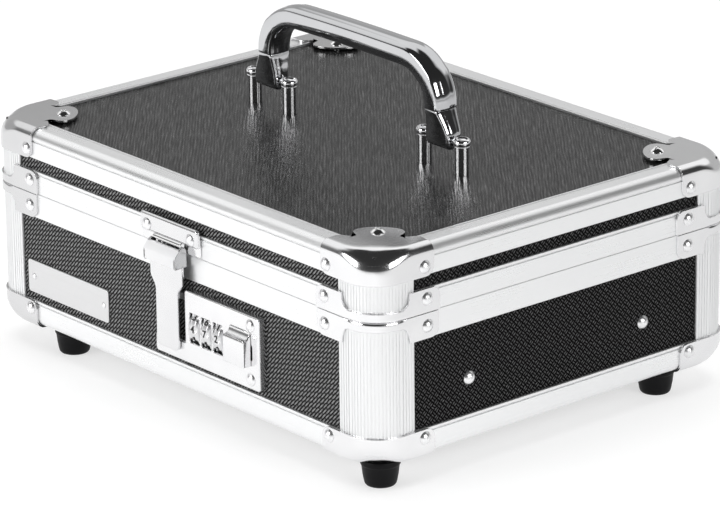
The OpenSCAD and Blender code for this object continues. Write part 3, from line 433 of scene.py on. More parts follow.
def plan(u, d):
    if u < -HA:
        return (CR + (-HA - u), d)
    if u > HA:
        return (d, CR + (u - HA))
    a = math.radians(270) - (u + HA) / (2 * HA) * math.pi / 2
    return (CR + (CR - d) * math.cos(a), CR + (CR - d) * math.sin(a))


def smooth(x):
    x = max(0.0, min(1.0, x))
    return x * x * (3 - 2 * x)


def stations(leg, ear=4.5, nmid=34):
    """Path parameters from one flap end to the other, close together at the rounded ends."""
    end = HA + leg - CR
    out = [-end + ear * (1 - math.cos(k / 7 * math.pi / 2)) for k in range(8)]
    n = nmid
    a = out[-1]
    mid = [a + (-2 * a) * k / n for k in range(1, n)]
    return out + mid + [-x for x in reversed(out)], end


def ear_rise(e, r):
    if e >= r:
        return 0.0
    return r - math.sqrt(max(0.0, r * r - (r - e) ** 2))


# ---- pressed corner caps of the lid top and of the base bottom ----
LEG = 33.0


def ball_cap(z_face, z_edge, up, t=0.0):
    us, end = stations(LEG)
    nr = 9
    z_face = z_face - up * t

    def r_edge(u):
        return 4.3 - t + 5.4 * smooth(1.15 - abs(u) / (HA + 4.5))

    # outline of the flat part, from one flap end to the other, round the lobe
    far = [(LEG + 0.4, 7.6), (LEG, 9.2), (LEG - 1.2, 10.4), (LEG - 3.6, 11.6), (LEG - 5.4, 12.9), (LEG - 5.9, 13.8), (LEG - 5.4, 14.7), (LEG - 3.8, 15.3),
           (LEG - 1.9, 15.9), (LEG - 0.4, 17.0), (LEG + 0.4, 18.8), (LEG + 0.5, 20.8), (LEG - 0.1, 23.0), (LEG - 1.2, 25.2), (LEG - 2.6, 27.2), (28.9, 28.9)]
    half = [p for p in far if p[0] >= p[1] - 1e-6]
    far = half + [(y, x) for x, y in reversed(half)]
    lens = [0.0]
    for p, q in zip(far, far[1:]):
        lens.append(lens[-1] + math.hypot(q[0] - p[0], q[1] - p[1]))

    def far_at(f):
        s = f * lens[-1]
        for k in range(len(far) - 1):
            if lens[k + 1] >= s or k == len(far) - 2:
                q = (s - lens[k]) / max(1e-9, lens[k + 1] - lens[k])
                return (far[k][0] + (far[k + 1][0] - far[k][0]) * q, far[k][1] + (far[k + 1][1] - far[k][1]) * q)

    rows = []
    kk = 10
    n = len(us)
    for k in range(kk, 0, -1):
        row = []
        f = k / kk
        for j, u in enumerate(us):
            d = -CAPN + t + r_edge(u)
            x0, y0 = plan(u, d)
            x1, y1 = far_at(j / (n - 1))
            x, y = x0 + (x1 - x0) * f, y0 + (y1 - y0) * f
            dip = 0.0
            row.append((x, y, z_face - up * dip))
        rows.append(row)
    for k in range(nr + 1):
        phi = k / nr * math.pi / 2
        row = []
        for u in us:
            re = r_edge(u)
            x, y = plan(u, -CAPN + t + re * (1 - math.sin(phi)))
            row.append((x, y, z_face - up * re * (1 - math.cos(phi))))
        rows.append(row)
    for k in range(1, 5):
        row = []
        for u in us:
            re = r_edge(u)
            z0 = z_face - up * re
            z1 = z_edge + up * ear_rise(end - abs(u), 4.4)
            x, y = plan(u, -CAPN + t)
            row.append((x, y, z0 + (z1 - z0) * k / 4))
        rows.append(row)
    if up < 0:
        rows.reverse()
    return rows


def band_cap(z_flat, z_dip_flap, z_dip_mid, leg, roll, t=0.0, w=16.4, rr=4.2):
    """Band round a corner: one straight edge at z_flat, the other stepping from the flap height to a U-shaped dip."""
    us, end = stations(leg, 4.0, 46)
    extra = [s * (w - rr * (1 - math.cos(k / 6 * math.pi / 2))) for k in range(7) for s in (-1, 1)]
    us = sorted(set(us) | set(extra))
    sg = 1 if z_dip_flap > z_flat else -1
    depth = abs(z_dip_flap - z_dip_mid)
    rows = []
    edge = []
    for u in us:
        s = abs(u)
        if s <= w - rr:
            z = z_dip_mid
        elif s < w:
            q = (s - (w - rr)) / rr
            z = z_dip_mid + sg * depth * (1 - math.sqrt(max(0.0, 1 - q * q)))
        else:
            z = z_dip_flap
        e = end - s
        z -= sg * ear_rise(e, 4.0)
        edge.append(z)
    for k in range(5):
        # edge at the parting line, rolled inwards round the corner
        row = []
        phi = math.radians(90 - 22.5 * k)
        for u in us:
            q = roll * smooth((15.5 - abs(u)) / 4.0)
            x, y = plan(u, -CAPN + 0.02 + t + min(0.93, q) * (1 - math.cos(phi)))
            row.append((x, y, z_flat + sg * q * (1 - math.sin(phi))))
        rows.append(row)
    for k in range(1, 6):
        row = []
        for u, z in zip(us, edge):
            q = roll * smooth((15.5 - abs(u)) / 4.0)
            x, y = plan(u, -CAPN + 0.02 + t)
            z0 = z_flat + sg * q
            row.append((x, y, z0 + (z - z0) * k / 5))
        rows.append(row)
    if sg > 0:
        rows.reverse()
    return rows


SHELL = (bevel_mod(0.2, 2, 50),)
for nm, body, make, node in (
    ("vis_lid_top_caps", "lid", lambda t: ball_cap(ZT + CAPN, ZT - 13.3, 1, t), "lid_top_corner_caps"),
    ("vis_base_bottom_caps", "base", lambda t: ball_cap(ZB - CAPN, ZB + 12.3, -1, t), "base_bottom_corner_caps"),
    ("vis_lid_lower_caps", "lid", lambda t: band_cap(ZP + 0.2, ZP + 10.8, ZP + 3.9, 36.3, 0.5, t), "lid_lower_corner_caps"),
    ("vis_base_upper_caps", "base", lambda t: band_cap(ZP - 0.1, ZP - 11.5, ZP - 4.2, 35.5, 1.5, t), "base_upper_corner_caps"),
):
    place(add_obj(nm, four_corners(make), "cap", 42, SHELL), body, "nickel", node)


# ---- lathe and loft ----
def lathe(bm, profile, at=(0, 0, 0), n=48, axis="z"):
    rows = []
    for r, z in profile:
        row = []
        for k in range(n):
            a = 2 * math.pi * k / n
            p = Vector((r * math.cos(a), r * math.sin(a), z))
            if axis == "x":
                p = Vector((p.z, p.x, p.y))
            elif axis == "-y":
                p = Vector((p.x, -p.z, p.y))
            row.append(p + Vector(at))
        rows.append(row)
    vr = [[bm.verts.new(p) for p in row] for row in rows]
    for i in range(len(vr) - 1):
        for j in range(n):
            bm.faces.new([vr[i][j], vr[i][(j + 1) % n], vr[i + 1][(j + 1) % n], vr[i + 1][j]])
    bm.faces.new(list(reversed(vr[0])))
    bm.faces.new(vr[-1])
    return vr


def arc(cx, cz, r, a0, a1, n):
    return [(cx + r * math.cos(math.radians(a0 + (a1 - a0) * k / n)), cz + r * math.sin(math.radians(a0 + (a1 - a0) * k / n))) for k in range(n + 1)]


def loft(bm, rings, cap=True):
    vr = [[bm.verts.new(p) for p in ring] for ring in rings]
    n = len(vr[0])
    for i in range(len(vr) - 1):
        for j in range(n):
            bm.faces.new([vr[i][j], vr[i][(j + 1) % n], vr[i + 1][(j + 1) % n], vr[i + 1][j]])
    if cap:
        bm.faces.new(list(reversed(vr[0])))
        bm.faces.new(vr[-1])
    bmesh.ops.recalc_face_normals(bm, faces=bm.faces)
    return vr


def rr_ring(a, b, r, k=6):
    """Rounded rectangle of half sizes a, b."""
    r = min(r, a - 0.01, b - 0.01)
    out = []
    for cx, cy, a0 in ((a - r, b - r, 0), (-(a - r), b - r, 90), (-(a - r), -(b - r), 180), (a - r, -(b - r), 270)):
        for i in range(k + 1):
            t = math.radians(a0 + 90 * i / k)
            out.append((cx + r * math.cos(t), cy + r * math.sin(t)))
    return out


# ---- handle ----
def bar_ring(a, b, ra, rb, k=7):
    """Flat-faced bar section of half thickness a and half width b, corners ra by rb."""
    top, crown = a, min(0.4, b * 0.08)
    a = a - crown
    ra, rb = min(ra, a - 0.01), min(rb, b - 0.01)
    out = []
    for n, (cx, cy, a0) in enumerate(((a - ra, b - rb, 0), (-(a - ra), b - rb, 90), (-(a - ra), -(b - rb), 180), (a - ra, -(b - rb), 270))):
        for i in range(k + 1):
            t = math.radians(a0 + 90 * i / k)
            out.append((cx + ra * math.cos(t), cy + rb * math.sin(t)))
        if n in (1, 3):
            # the outer and inner faces are slightly crowned
            m = -1 if n == 1 else 1
            for q in (0.66, 0.33, 0.0, -0.33, -0.66):
                out.append((m * (top - crown * q * q), -m * q * (b - rb)))
    return out


def handle():
    bm = bmesh.new()
    HT, HW, HR = 5.3, 6.4, 3.4
    xl, br, top = 57.6, 20.0, ZT + 52.4 - HT
    half = []  # centre x, z, angle of the path, half thickness, half width, corner radius
    # from the eye on the left to the middle, then mirrored
    half += [
        (-59.4, ZT + 8.75, 90, 5.6, 1.1, 1.0), (-59.4, ZT + 8.95, 90, 6.9, 2.3, 1.4), (-59.4, ZT + 9.5, 90, 7.5, 3.2, 1.8),
        (-59.4, ZT + 10.6, 90, 7.85, 3.85, 2.0), (-59.4, ZT + 12.8, 90, 7.95, 4.15, 2.0), (-59.4, ZT + 15.2, 90, 7.9, 4.3, 2.0),
        (-59.2, ZT + 17.4, 90, 7.5, 4.5, 2.1), (-58.8, ZT + 19.8, 90, 6.8, 4.8, 2.2), (-58.3, ZT + 22.4, 90, 6.0, 5.2, 2.4),
        (-57.9, ZT + 24.0, 90, 5.5, 5.6, 2.5), (-57.7, ZT + 25.6, 90, 5.05, 5.8, 2.6),
        (-57.6, ZT + 26.0, 90, 4.85, 5.7, 2.6), (-57.6, ZT + 26.15, 90, 4.85, 5.9, 2.6), (-57.6, ZT + 26.4, 90, 5.15, 6.25, 3.0), (-57.6, ZT + 26.8, 90, HT, HW, HR),
    ]
    for k in range(0, 15):
        a = 180 - 90 * k / 14
        half.append((-xl + br + br * math.cos(math.radians(a)), top - br + br * math.sin(math.radians(a)), a - 90, HT, HW, HR))
    for k in range(1, 9):
        x = -(xl - br) * (1 - k / 8)
        half.append((x, top, 0, HT, HW, HR))
    full = half + [(-x, z, -a, ta, wb, r) for x, z, a, ta, wb, r in reversed(half[:-1])]
    rings = []
    for x, z, a, ta, wb, r in full:
        zz = z
        if z > ZT + 40:
            zz = z + 0.55 * (1 - (x / 46.0) ** 2) * smooth((z - ZT - 40) / 8.0) - 0.55
        t = math.radians(a)
        nx, nz = -math.sin(t), math.cos(t)
        rings.append([(x + nx * p, q, zz + nz * p) for p, q in bar_ring(ta, wb, r * 0.5, r)])
    loft(bm, rings)
    return add_obj("vis_handle_grip", bm, "grip", 30)


place(handle(), "handle", "chrome", "handle_grip")


def posts():
    lo, hi = bmm("handle_posts")
    bm = bmesh.new()
    mx = (bmm("handle_backing_plates")[1].x - 20)
    for m in (-1, 1):
        for k in (-1, 1):
            z = ZT - 1.24
            prof = [(0.4, z), (3.73, z), (3.73, z + 6.0), (3.73, z + 12.9), (3.73, z + 13.2), (3.66, z + 13.35), (3.66, z + 13.5), (3.85, z + 13.65), (3.95, z + 13.9),
                    (3.98, z + 14.7), (3.92, z + 15.3), (3.75, z + 15.8), (3.4, z + 16.2), (3.0, z + 16.4), (2.7, z + 16.38),
                    (2.45, z + 16.15), (2.2, z + 15.7), (1.7, z + 15.5), (0.4, z + 15.45)]
            lathe(bm, prof, (m * mx + k * 12.3, 0, 0), 40)
    bmesh.ops.recalc_face_normals(bm, faces=bm.faces)
    return add_obj("vis_handle_posts", bm, "chrome", 34)


place(posts(), "lid", "chrome", "handle_posts")


# ---- feet ----
def feet():
    bm = bmesh.new()
    src = NODES["rubber_feet"].data
    pts = [v.co / MM for v in src.vertices]
    # foot centres from the four separate solids: group the points by place
    groups = []
    for p in pts:
        for g in groups:
            if (g[0] - p.x) ** 2 + (g[1] - p.y) ** 2 < 30 ** 2:
                g[2].append(p)
                break
        else:
            groups.append([p.x, p.y, [p]])
    for g in groups:
        xs, ys = [p.x for p in g[2]], [p.y for p in g[2]]
        c = ((min(xs) + max(xs)) / 2, (min(ys) + max(ys)) / 2, 0)
        r = (max(xs) - min(xs)) / 2
        h = ZB - 0.03
        prof = [(2.1, 4.5), (4.35, 4.5), (4.4, 4.3), (4.4, 0.9), (4.6, 0.3), (4.95, 0.02), (r - 3.0, 0.0), (r - 2.35, 0.2), (r - 1.9, 0.75),
                (r - 1.6, 1.7), (r - 1.0, 5.0), (r - 0.55, h - 2.9), (r - 0.42, h - 2.6), (r - 0.12, h - 2.35), (r, h - 2.0), (r, h - 0.3), (r - 0.2, h), (2.1, h)]
        vr = []
        n = 56
        for rr, z in prof:
            vr.append([bm.verts.new((c[0] + rr * math.cos(2 * math.pi * k / n), c[1] + rr * math.sin(2 * math.pi * k / n), z)) for k in range(n)])
        vr.append(vr[0])
        for i in range(len(vr) - 1):
            for j in range(n):
                bm.faces.new([vr[i][j], vr[i][(j + 1) % n], vr[i + 1][(j + 1) % n], vr[i + 1][j]])
    bmesh.ops.recalc_face_normals(bm, faces=bm.faces)
    return add_obj("vis_rubber_feet", bm, "rubber", 45)


place(feet(), "base", "rubber", "rubber_feet")


# ---- flat pressed parts: outlines with holes, extruded and rolled at the edges ----
def sheet(name, loops, thick, bevel, mat, origin, xdir=(1, 0, 0), ydir=(0, 0, 1), seg=3, sharp=35.0):
    """loops are closed outlines in mm, the first outer; the sheet is centred on its thickness at origin."""
    cu = bpy.data.curves.new(name + "_c", "CURVE")
    cu.dimensions = "2D"
    cu.fill_mode = "BOTH"
    cu.extrude = (thick / 2 - bevel) * MM
    cu.bevel_depth = bevel * MM
    cu.bevel_resolution = seg
    cu.offset = -bevel * MM
    for loop in loops:
        sp = cu.splines.new("POLY")
        sp.points.add(len(loop) - 1)
        for k, (x, y) in enumerate(loop):
            sp.points[k].co = (x * MM, y * MM, 0, 1)
        sp.use_cyclic_u = True
    tmp = bpy.data.objects.new(name + "_t", cu)
    col.objects.link(tmp)
    bpy.context.view_layer.update()
    dg = bpy.context.evaluated_depsgraph_get()
    me = bpy.data.meshes.new_from_object(tmp.evaluated_get(dg))
    bpy.data.objects.remove(tmp)
    bpy.data.curves.remove(cu)
    X, Y = Vector(xdir), Vector(ydir)
    Z = X.cross(Y)
    mt = Matrix(((X.x, Y.x, Z.x, origin[0] * MM), (X.y, Y.y, Z.y, origin[1] * MM), (X.z, Y.z, Z.z, origin[2] * MM), (0, 0, 0, 1)))
    me.transform(mt)
    bm = bmesh.new()
    bm.from_mesh(me)
    bmesh.ops.remove_doubles(bm, verts=bm.verts, dist=1e-6)
    bmesh.ops.recalc_face_normals(bm, faces=bm.faces)
    bm.to_mesh(me)
    bm.free()
    me.name = name
    me.materials.clear()
    me.materials.append(M[mat])
    me.shade_smooth()
    me.set_sharp_from_angle(angle=math.radians(sharp))
    ob = bpy.data.objects.new(name, me)
    col.objects.link(ob)
    return ob


def rrect(x0, x1, y0, y1, r, k=6):
    out = []
    for cx, cy, a0 in ((x1 - r, y1 - r, 0), (x0 + r, y1 - r, 90), (x0 + r, y0 + r, 180), (x1 - r, y0 + r, 270)):
        out += [(cx + r * math.cos(math.radians(a0 + 90 * i / k)), cy + r * math.sin(math.radians(a0 + 90 * i / k))) for i in range(k + 1)]
    return out


def circ(x, y, r, n=24):
    return [(x + r * math.cos(2 * math.pi * k / n), y + r * math.sin(2 * math.pi * k / n)) for k in range(n)]


def merge(name, obs, mat_key=None):
    """One mesh from several, their materials kept."""
    me = bpy.data.meshes.new(name)
    bm = bmesh.new()
    mats = []
    for o in obs:
        dg = bpy.context.evaluated_depsgraph_get()
        part = bpy.data.meshes.new_from_object(o.evaluated_get(dg)) if o.modifiers else o.data
        start = len(bm.faces)
        bm.from_mesh(part)
        bm.faces.ensure_lookup_table()
        for i in range(start, len(bm.faces)):
            f = bm.faces[i]
            m = part.materials[f.material_index]
            if m not in mats:
                mats.append(m)
            f.material_index = mats.index(m)
    bm.to_mesh(me)
    bm.free()
    for m in mats:
        me.materials.append(m)
    ob = bpy.data.objects.new(name, me)
    col.objects.link(ob)
    for o in obs:
        bpy.data.objects.remove(o)
    return ob


def front(h):
    """y of a point h in front of the front rail face."""
    return -HY - h


# nameplate: plain plate with slightly rounded edges
npl, nph = bmm("nameplate")
place(sheet("vis_nameplate", [rrect(npl.x, nph.x, npl.z, nph.z, 1.5)], 0.8, 0.18, "plate", (0, (npl.y + nph.y) / 2, 0)), "base", "nameplate", "nameplate")

# lock plate
PZ0, PZ1 = ZP - 49.3, ZP - 15.8
DZ = (DIALS[0][0].z + DIALS[0][1].z) / 2
LX0, LX1, NX, NZ = -10.5, 62.0, 10.4, ZP - 40.6


def lock_outline(r=1.5):
    def a(cx, cy, a0, a1, rr=r):
        return [(cx + rr * math.cos(math.radians(a0 + (a1 - a0) * k / 5)), cy + rr * math.sin(math.radians(a0 + (a1 - a0) * k / 5))) for k in range(6)]

    return (a(LX1 - r, PZ1 - r, 90, 0) + a(LX1 - r, PZ0 + r, 0, -90) + a(LX0 + r, PZ0 + r, 270, 180) + a(LX0 + r, NZ - r, 180, 90)
            + [(NX - 0.8, NZ), (NX - 0.2, NZ + 0.2), (NX, NZ + 0.8)] + a(NX + r, PZ1 - r, 180, 90))


holes = [rrect((d[0].x + d[1].x) / 2 - 3.6, (d[0].x + d[1].x) / 2 + 3.6, DZ - 6.9, DZ + 6.9, 0.7, 3) for d in DIALS]
holes.append(rrect(44.8, 56.9, DZ - 3.4, DZ + 3.4, 0.6, 3))
face = sheet("lock_face", [lock_outline()] + holes, 1.3, 0.4, "lockplate", (0, front(2.6 - 0.65), 0))
skirt = sheet("lock_skirt", [lock_outline(), [(x * 0.975 + 0.65, (z - DZ) * 0.95 + DZ) for x, z in lock_outline(1.2)]], 3.3, 0.15, "lockplate", (0, front(0.35), 0), seg=1)
place(merge("vis_lock_plate", [face, skirt]), "base", "nickel", "lock_plate")

# release button: raised pad with a hollow ramp above it
def button():
    bm = bmesh.new()
    x0, x1 = 41.8, 56.3
    z0, z1 = DZ - 6.4, DZ + 6.9
    prof = [(2.8, z0), (6.3, z0), (6.75, z0 + 0.2), (6.9, z0 + 0.7), (6.9, z1 - 2.2), (6.8, z1 - 1.4), (6.5, z1 - 0.8)]
    prof += [(6.5 - 3.3 * math.sin(math.radians(a)) - 0.15, z1 - 0.8 + 3.1 * (1 - math.cos(math.radians(a)))) for a in (12, 28, 44, 60, 76, 90)]
    prof += [(2.8, z1 + 2.3)]
    rings = []
    for x, s in ((x0, 0.6), (x0 + 0.12, 0.25), (x0 + 0.5, 0.0), (x1 - 0.5, 0.0), (x1 - 0.12, 0.25), (x1, 0.6)):
        rings.append([(x, front(max(2.8, h - s)), z + (s if z < DZ else -s * 0.6)) for h, z in prof])
    loft(bm, rings)
    return add_obj("vis_release_button", bm, "lockplate", 30, (bevel_mod(0.12, 2, 40),))


place(button(), "release", "nickel", "release_button")

# keeper plate: folded box with a rolled lip round the pin below it
HN, HZ = 4.4, ZP + 0.6


def keeper():
    pad = sheet("keeper_pad", [rrect(-20.4, 20.4, ZP + 4.9, ZP + 13.5, 1.7)] + [circ(x, ZP + 8.2, 1.4) for x in (-15.2, 15.2)], 2.5, 1.2, "lever", (0, front(1.35), 0), seg=5)
    tail = sheet("keeper_tail", [rrect(-20.3, 20.3, ZP + 0.5, ZP + 6.5, 0.9, 3)], 0.8, 0.25, "nickel", (0, front(0.46), 0), seg=2)
    bm = bmesh.new()
    prof = []
    # rolled strip: from the plate under the pin, round its front and over the top
    path = [(0.55, HZ + 2.0), (0.55, HZ - 0.8), (0.8, HZ - 1.5), (1.6, HZ - 1.9), (HN - 1.2, HZ - 1.95)]
    path += [(HN + 1.95 * math.cos(math.radians(a)), HZ + 1.95 * math.sin(math.radians(a))) for a in range(-90, 226, 21)]
    rows_o, rows_i = [], []
    for k, (h, z) in enumerate(path):
        a = path[max(0, k - 1)]
        b = path[min(len(path) - 1, k + 1)]
        tx, tz = b[0] - a[0], b[1] - a[1]
        ln = math.hypot(tx, tz) or 1
        nx, nz = tz / ln, -tx / ln
        rows_o.append((h + nx * 0.35, z + nz * 0.35))
        rows_i.append((h - nx * 0.35, z - nz * 0.35))
    loopp = rows_o + list(reversed(rows_i))
    rings = [[(x, front(h), z) for h, z in loopp] for x in (-9.7, 9.7)]
    loft(bm, rings)
    lip = add_obj("keeper_lip", bm, "nickel", 40)
    bm = bmesh.new()
    lathe(bm, [(0.5, -9.9), (1.05, -9.9), (1.3, -9.65), (1.3, 0.0), (1.3, 9.65), (1.05, 9.9), (0.5, 9.9)], (0, front(2.5), ZP + 4.3), 28, "x")
    bmesh.ops.recalc_face_normals(bm, faces=bm.faces)
    bead = add_obj("keeper_bead", bm, "nickel", 40)
    return merge("vis_keeper_plate", [pad, tail, lip, bead])


place(keeper(), "lid", "nickel", "keeper_plate")


# hasp: hood with trapezoid cheeks and a sloping top, then the lever
def hasp():
    cheek = [(1.35, ZP - 5.0), (1.35, ZP + 2.2), (2.2, ZP + 3.7), (3.9, ZP + 3.95), (5.0, ZP + 3.3), (7.75, ZP + 0.2), (8.0, ZP - 0.6), (8.0, ZP - 5.3), (7.8, ZP - 5.6), (1.6, ZP - 5.4)]
    parts = []
    for s in (-1, 1):
        parts.append(sheet("cheek%d" % s, [cheek], 1.2, 0.3, "cheek", (s * 10.6, -HY, 0), (0, -1, 0), (0, 0, 1), seg=2))
    # front skin of the hood
    outer = [(5.3, ZP + 2.75), (5.75, ZP + 2.55), (7.75, ZP + 0.25), (7.98, ZP - 0.4), (8.0, ZP - 1.2), (8.0, ZP - 4.6), (7.85, ZP - 5.1), (7.4, ZP - 5.35), (6.4, ZP - 5.4), (4.6, ZP - 5.4)]
    inner = [(4.6, ZP - 4.4), (6.6, ZP - 4.4), (7.0, ZP - 4.3), (7.05, ZP - 1.0), (6.95, ZP - 0.2), (5.35, ZP + 1.75), (5.05, ZP + 2.1)]
    bm = bmesh.new()
    rings = [[(x, front(h), z) for h, z in outer + inner] for x in (-11.1, -10.95, 10.95, 11.1)]
    for ring_i, sc in ((0, 0.12), (3, 0.12)):
        rings[ring_i] = [(p[0], p[1] + sc, p[2] - sc * (1 if p[2] > ZP else -1)) for p in rings[ring_i]]
    loft(bm, rings)
    parts.append(add_obj("hood_skin", bm, "hood", 28))
    # lever: pressed plate, shoulder then tail, edges folded back
    r = 3.0
    out = [(-11.2, ZP - 4.6), (-11.2, ZP - 12.6), (-10.9, ZP - 13.7), (-8.3, ZP - 17.2), (-7.7, ZP - 18.6), (-7.6, ZP - 20.0)]
    out += [(-7.6 + r - r * math.cos(math.radians(a)), ZP - 45.4 + r - r * math.sin(math.radians(a))) for a in (0, 18, 36, 54, 72, 90)]
    out = out + [(-x, z) for x, z in reversed(out)]
    parts.append(sheet("lever", [list(reversed(out))], 1.9, 0.75, "lever", (0, front(3.75), 0), seg=4))
    # folded return flange along the lever's edges
    rim = [(x * 0.985, z) for x, z in out[4:-4]]
    inn = [(x * 0.86, ZP - 45.4 + (z - (ZP - 45.4)) * 0.97 + 1.0) for x, z in out[4:-4]]
    parts.append(sheet("lever_fold", [rim + list(reversed(inn))], 1.4, 0.2, "nickel", (0, front(3.62), 0), seg=1))
    # tongue
    parts.append(sheet("tongue", [rrect(-3.9, 3.9, ZP - 25, ZP - 19.6, 0.9, 4)], 3.3, 0.3, "nickel", (0, front(2.1), 0), seg=2))
    return merge("vis_hasp", parts)


place(hasp(), "hasp", "nickel", "hasp")


# ---- number wheels ----
def wheel(i, d):
    lo, hi = d
    x0, x1 = lo.x, hi.x
    cy, cz = (lo.y + hi.y) / 2, (lo.z + hi.z) / 2
    R = (hi.z - lo.z) / 2
    bm = bmesh.new()
    n = 120
    rings = []
    for x, rr, knurl in ((x0, R - 1.3, 0.0), (x0 + 0.15, R - 1.05, 0.0), (x0 + 0.55, R - 0.5, 0.5), (x0 + 0.9, R - 0.1, 1.0), (x0 + 1.25, R - 0.02, 1.0), (x0 + 1.6, R - 0.3, 0.5),
                         (x0 + 1.75, R - 0.62, 0.0), (x1 - 1.75, R - 0.62, 0.0), (x1 - 1.6, R - 0.3, 0.5), (x1 - 1.25, R - 0.02, 1.0), (x1 - 0.9, R - 0.1, 1.0), (x1 - 0.55, R - 0.5, 0.5), (x1 - 0.15, R - 1.05, 0.0), (x1, R - 1.3, 0.0)):
        ring = []
        for k in range(n):
            a = 2 * math.pi * k / n
            g = 0.5 - 0.5 * math.cos(10 * a)
            g = (1 - g) ** 6
            r = rr - knurl * 0.85 * g
            ring.append((x, cy + r * math.sin(a + math.radians(18)), cz + r * math.cos(a + math.radians(18))))
        rings.append(ring)
    loft(bm, rings)
    return add_obj("vis_dial_%d" % (i + 1), bm, "wheel", 32), cy, cz, R


START = (4, 7, 2)
for i, d in enumerate(DIALS):
    ob, cy, cz, R = wheel(i, d)
    body = "dial_%d" % (i + 1)
    place(ob, body, "chrome", "dial_%d" % (i + 1))
    xc = (d[0].x + d[1].x) / 2
    parts = []
    for k in range(10):
        tx = bpy.data.curves.new("digit", "FONT")
        tx.body = str((START[i] + k) % 10)
        tx.size = 4.6 * MM
        tx.align_x = "CENTER"
        tx.align_y = "CENTER"
        tx.extrude = 0.12 * MM
        tx.offset = 0.06 * MM
        o = bpy.data.objects.new("digit_t", tx)
        col.objects.link(o)
        bpy.context.view_layer.update()
        me = bpy.data.meshes.new_from_object(o.evaluated_get(bpy.context.evaluated_depsgraph_get()))
        bpy.data.objects.remove(o)
        bpy.data.curves.remove(tx)
        th = math.radians(36 * k)
        # face plane at angle th round the X axis, facing -Y at th = 0
        nrm = Vector((0, -math.cos(th), -math.sin(th)))
        upv = Vector((0, -math.sin(th), math.cos(th)))
        X = Vector((1, 0, 0))
        c = Vector((xc, cy, cz)) + nrm * (R - 0.62 + 0.02)
        me.transform(Matrix(((X.x, upv.x, nrm.x, c.x * MM), (X.y, upv.y, nrm.y, c.y * MM), (X.z, upv.z, nrm.z, c.z * MM), (0, 0, 0, 1))))
        me.materials.clear()
        me.materials.append(M["dark"])
        oo = bpy.data.objects.new("digit", me)
        col.objects.link(oo)
        parts.append(oo)
    digits = merge("vis_digits_%d" % (i + 1), parts)
    place(digits, body, "chrome")

# ---- foam ----
TN, PLG = 7.2 + 2.1, 23.5 + 2.1


def tray_outline(o):
    x0, y0 = HX - TN - o, HY - TN - o
    xc, yc = HX - PLG - o, HY - PLG - o
    zn = -HY + 17.6 + 2.1 + o
    return [(xc, -y0), (xc, -yc), (x0, -yc), (x0, yc), (xc, yc), (xc, y0), (-xc, y0), (-xc, yc), (-x0, yc), (-x0, -yc), (-xc, -yc), (-xc, -y0),
            (6 - 2.1 - o, -y0), (6 - 2.1 - o, zn), (63 + 2.1 + o, zn), (63 + 2.1 + o, -y0)]


def well(x, y, w, d, r):
    return rrect(x - w / 2, x + w / 2, y - d / 2, y + d / 2, r, 8)


fl, fh = bmm("tray_foam")
wells = [well(-46, 22, 138, 88, 14), well(76, 12, 76, 118, 12)] + [well(x, -60, 31, 42, 4) for x in (-96, -58, -20)] + [well(86, -70, 56, 22, 8)]
upper = sheet("tf_upper", [tray_outline(0)] + wells, fh.z - 51.0, 1.6, "foam", (0, 0, (fh.z + 51.0) / 2), (1, 0, 0), (0, 1, 0), seg=4)
lower = sheet("tf_lower", [tray_outline(0.3), circ(-112, 0, 7.2), circ(112, 0, 7.2)], 51.4 - fl.z, 0.6, "foam", (0, 0, (51.4 + fl.z) / 2), (1, 0, 0), (0, 1, 0), seg=2)
place(merge("vis_tray_foam", [upper, lower]), "base", "foam", "tray_foam")


def egg_crate(name, x0, x1, y0, y1, zbase, zpeak, pitch, cut, flip):
    """Convoluted foam pad: rows of rounded peaks, with square corner cut-outs of size cut."""
    bm = bmesh.new()
    step = pitch / 8
    nx, ny = int((x1 - x0) / step), int((y1 - y0) / step)
    V = {}
    amp = (zpeak - zbase) * 0.36
    mid = zpeak - amp * 1.04

    def inside(i, j):
        x, y = x0 + (i + 0.5) * (x1 - x0) / nx, y0 + (j + 0.5) * (y1 - y0) / ny
        return not (min(x - x0, x1 - x) < cut and min(y - y0, y1 - y) < cut)

    def vert(i, j):
        if (i, j) not in V:
            x, y = x0 + i * (x1 - x0) / nx, y0 + j * (y1 - y0) / ny
            e = min(x - x0, x1 - x, y - y0, y1 - y)
            cx, cy = min(x - x0, x1 - x) - cut, min(y - y0, y1 - y) - cut
            if cx < 0 and cy < 0:
                e = 0
            elif cx < pitch * 0.5 and cy < pitch * 0.5:
                e = min(e, max(cx, cy, 0.0))
            k = smooth(e / (pitch * 0.45))
            w = math.cos(2 * math.pi * x / pitch) * math.cos(2 * math.pi * y / pitch)
            z = mid + amp * w * k - (1 - k) * abs(amp) * 0.6 * (1 if zpeak > zbase else -1)
            V[(i, j)] = bm.verts.new((x, y, z))
        return V[(i, j)]

    W = {}

    def low(i, j):
        if (i, j) not in W:
            v = vert(i, j)
            W[(i, j)] = bm.verts.new((v.co.x, v.co.y, zbase))
        return W[(i, j)]

    cells = {(i, j) for i in range(nx) for j in range(ny) if inside(i, j)}
    for i, j in cells:
        bm.faces.new([vert(i, j), vert(i + 1, j), vert(i + 1, j + 1), vert(i, j + 1)])
        bm.faces.new([low(i, j + 1), low(i + 1, j + 1), low(i + 1, j), low(i, j)])
        for di, dj, a, b in ((-1, 0, (0, 1), (0, 0)), (1, 0, (1, 0), (1, 1)), (0, -1, (0, 0), (1, 0)), (0, 1, (1, 1), (0, 1))):
            if (i + di, j + dj) not in cells:
                p, q = (i + a[0], j + a[1]), (i + b[0], j + b[1])
                bm.faces.new([vert(*p), low(*p), low(*q), vert(*q)])
    bmesh.ops.recalc_face_normals(bm, faces=bm.faces)
    return add_obj(name, bm, "foam", 60)


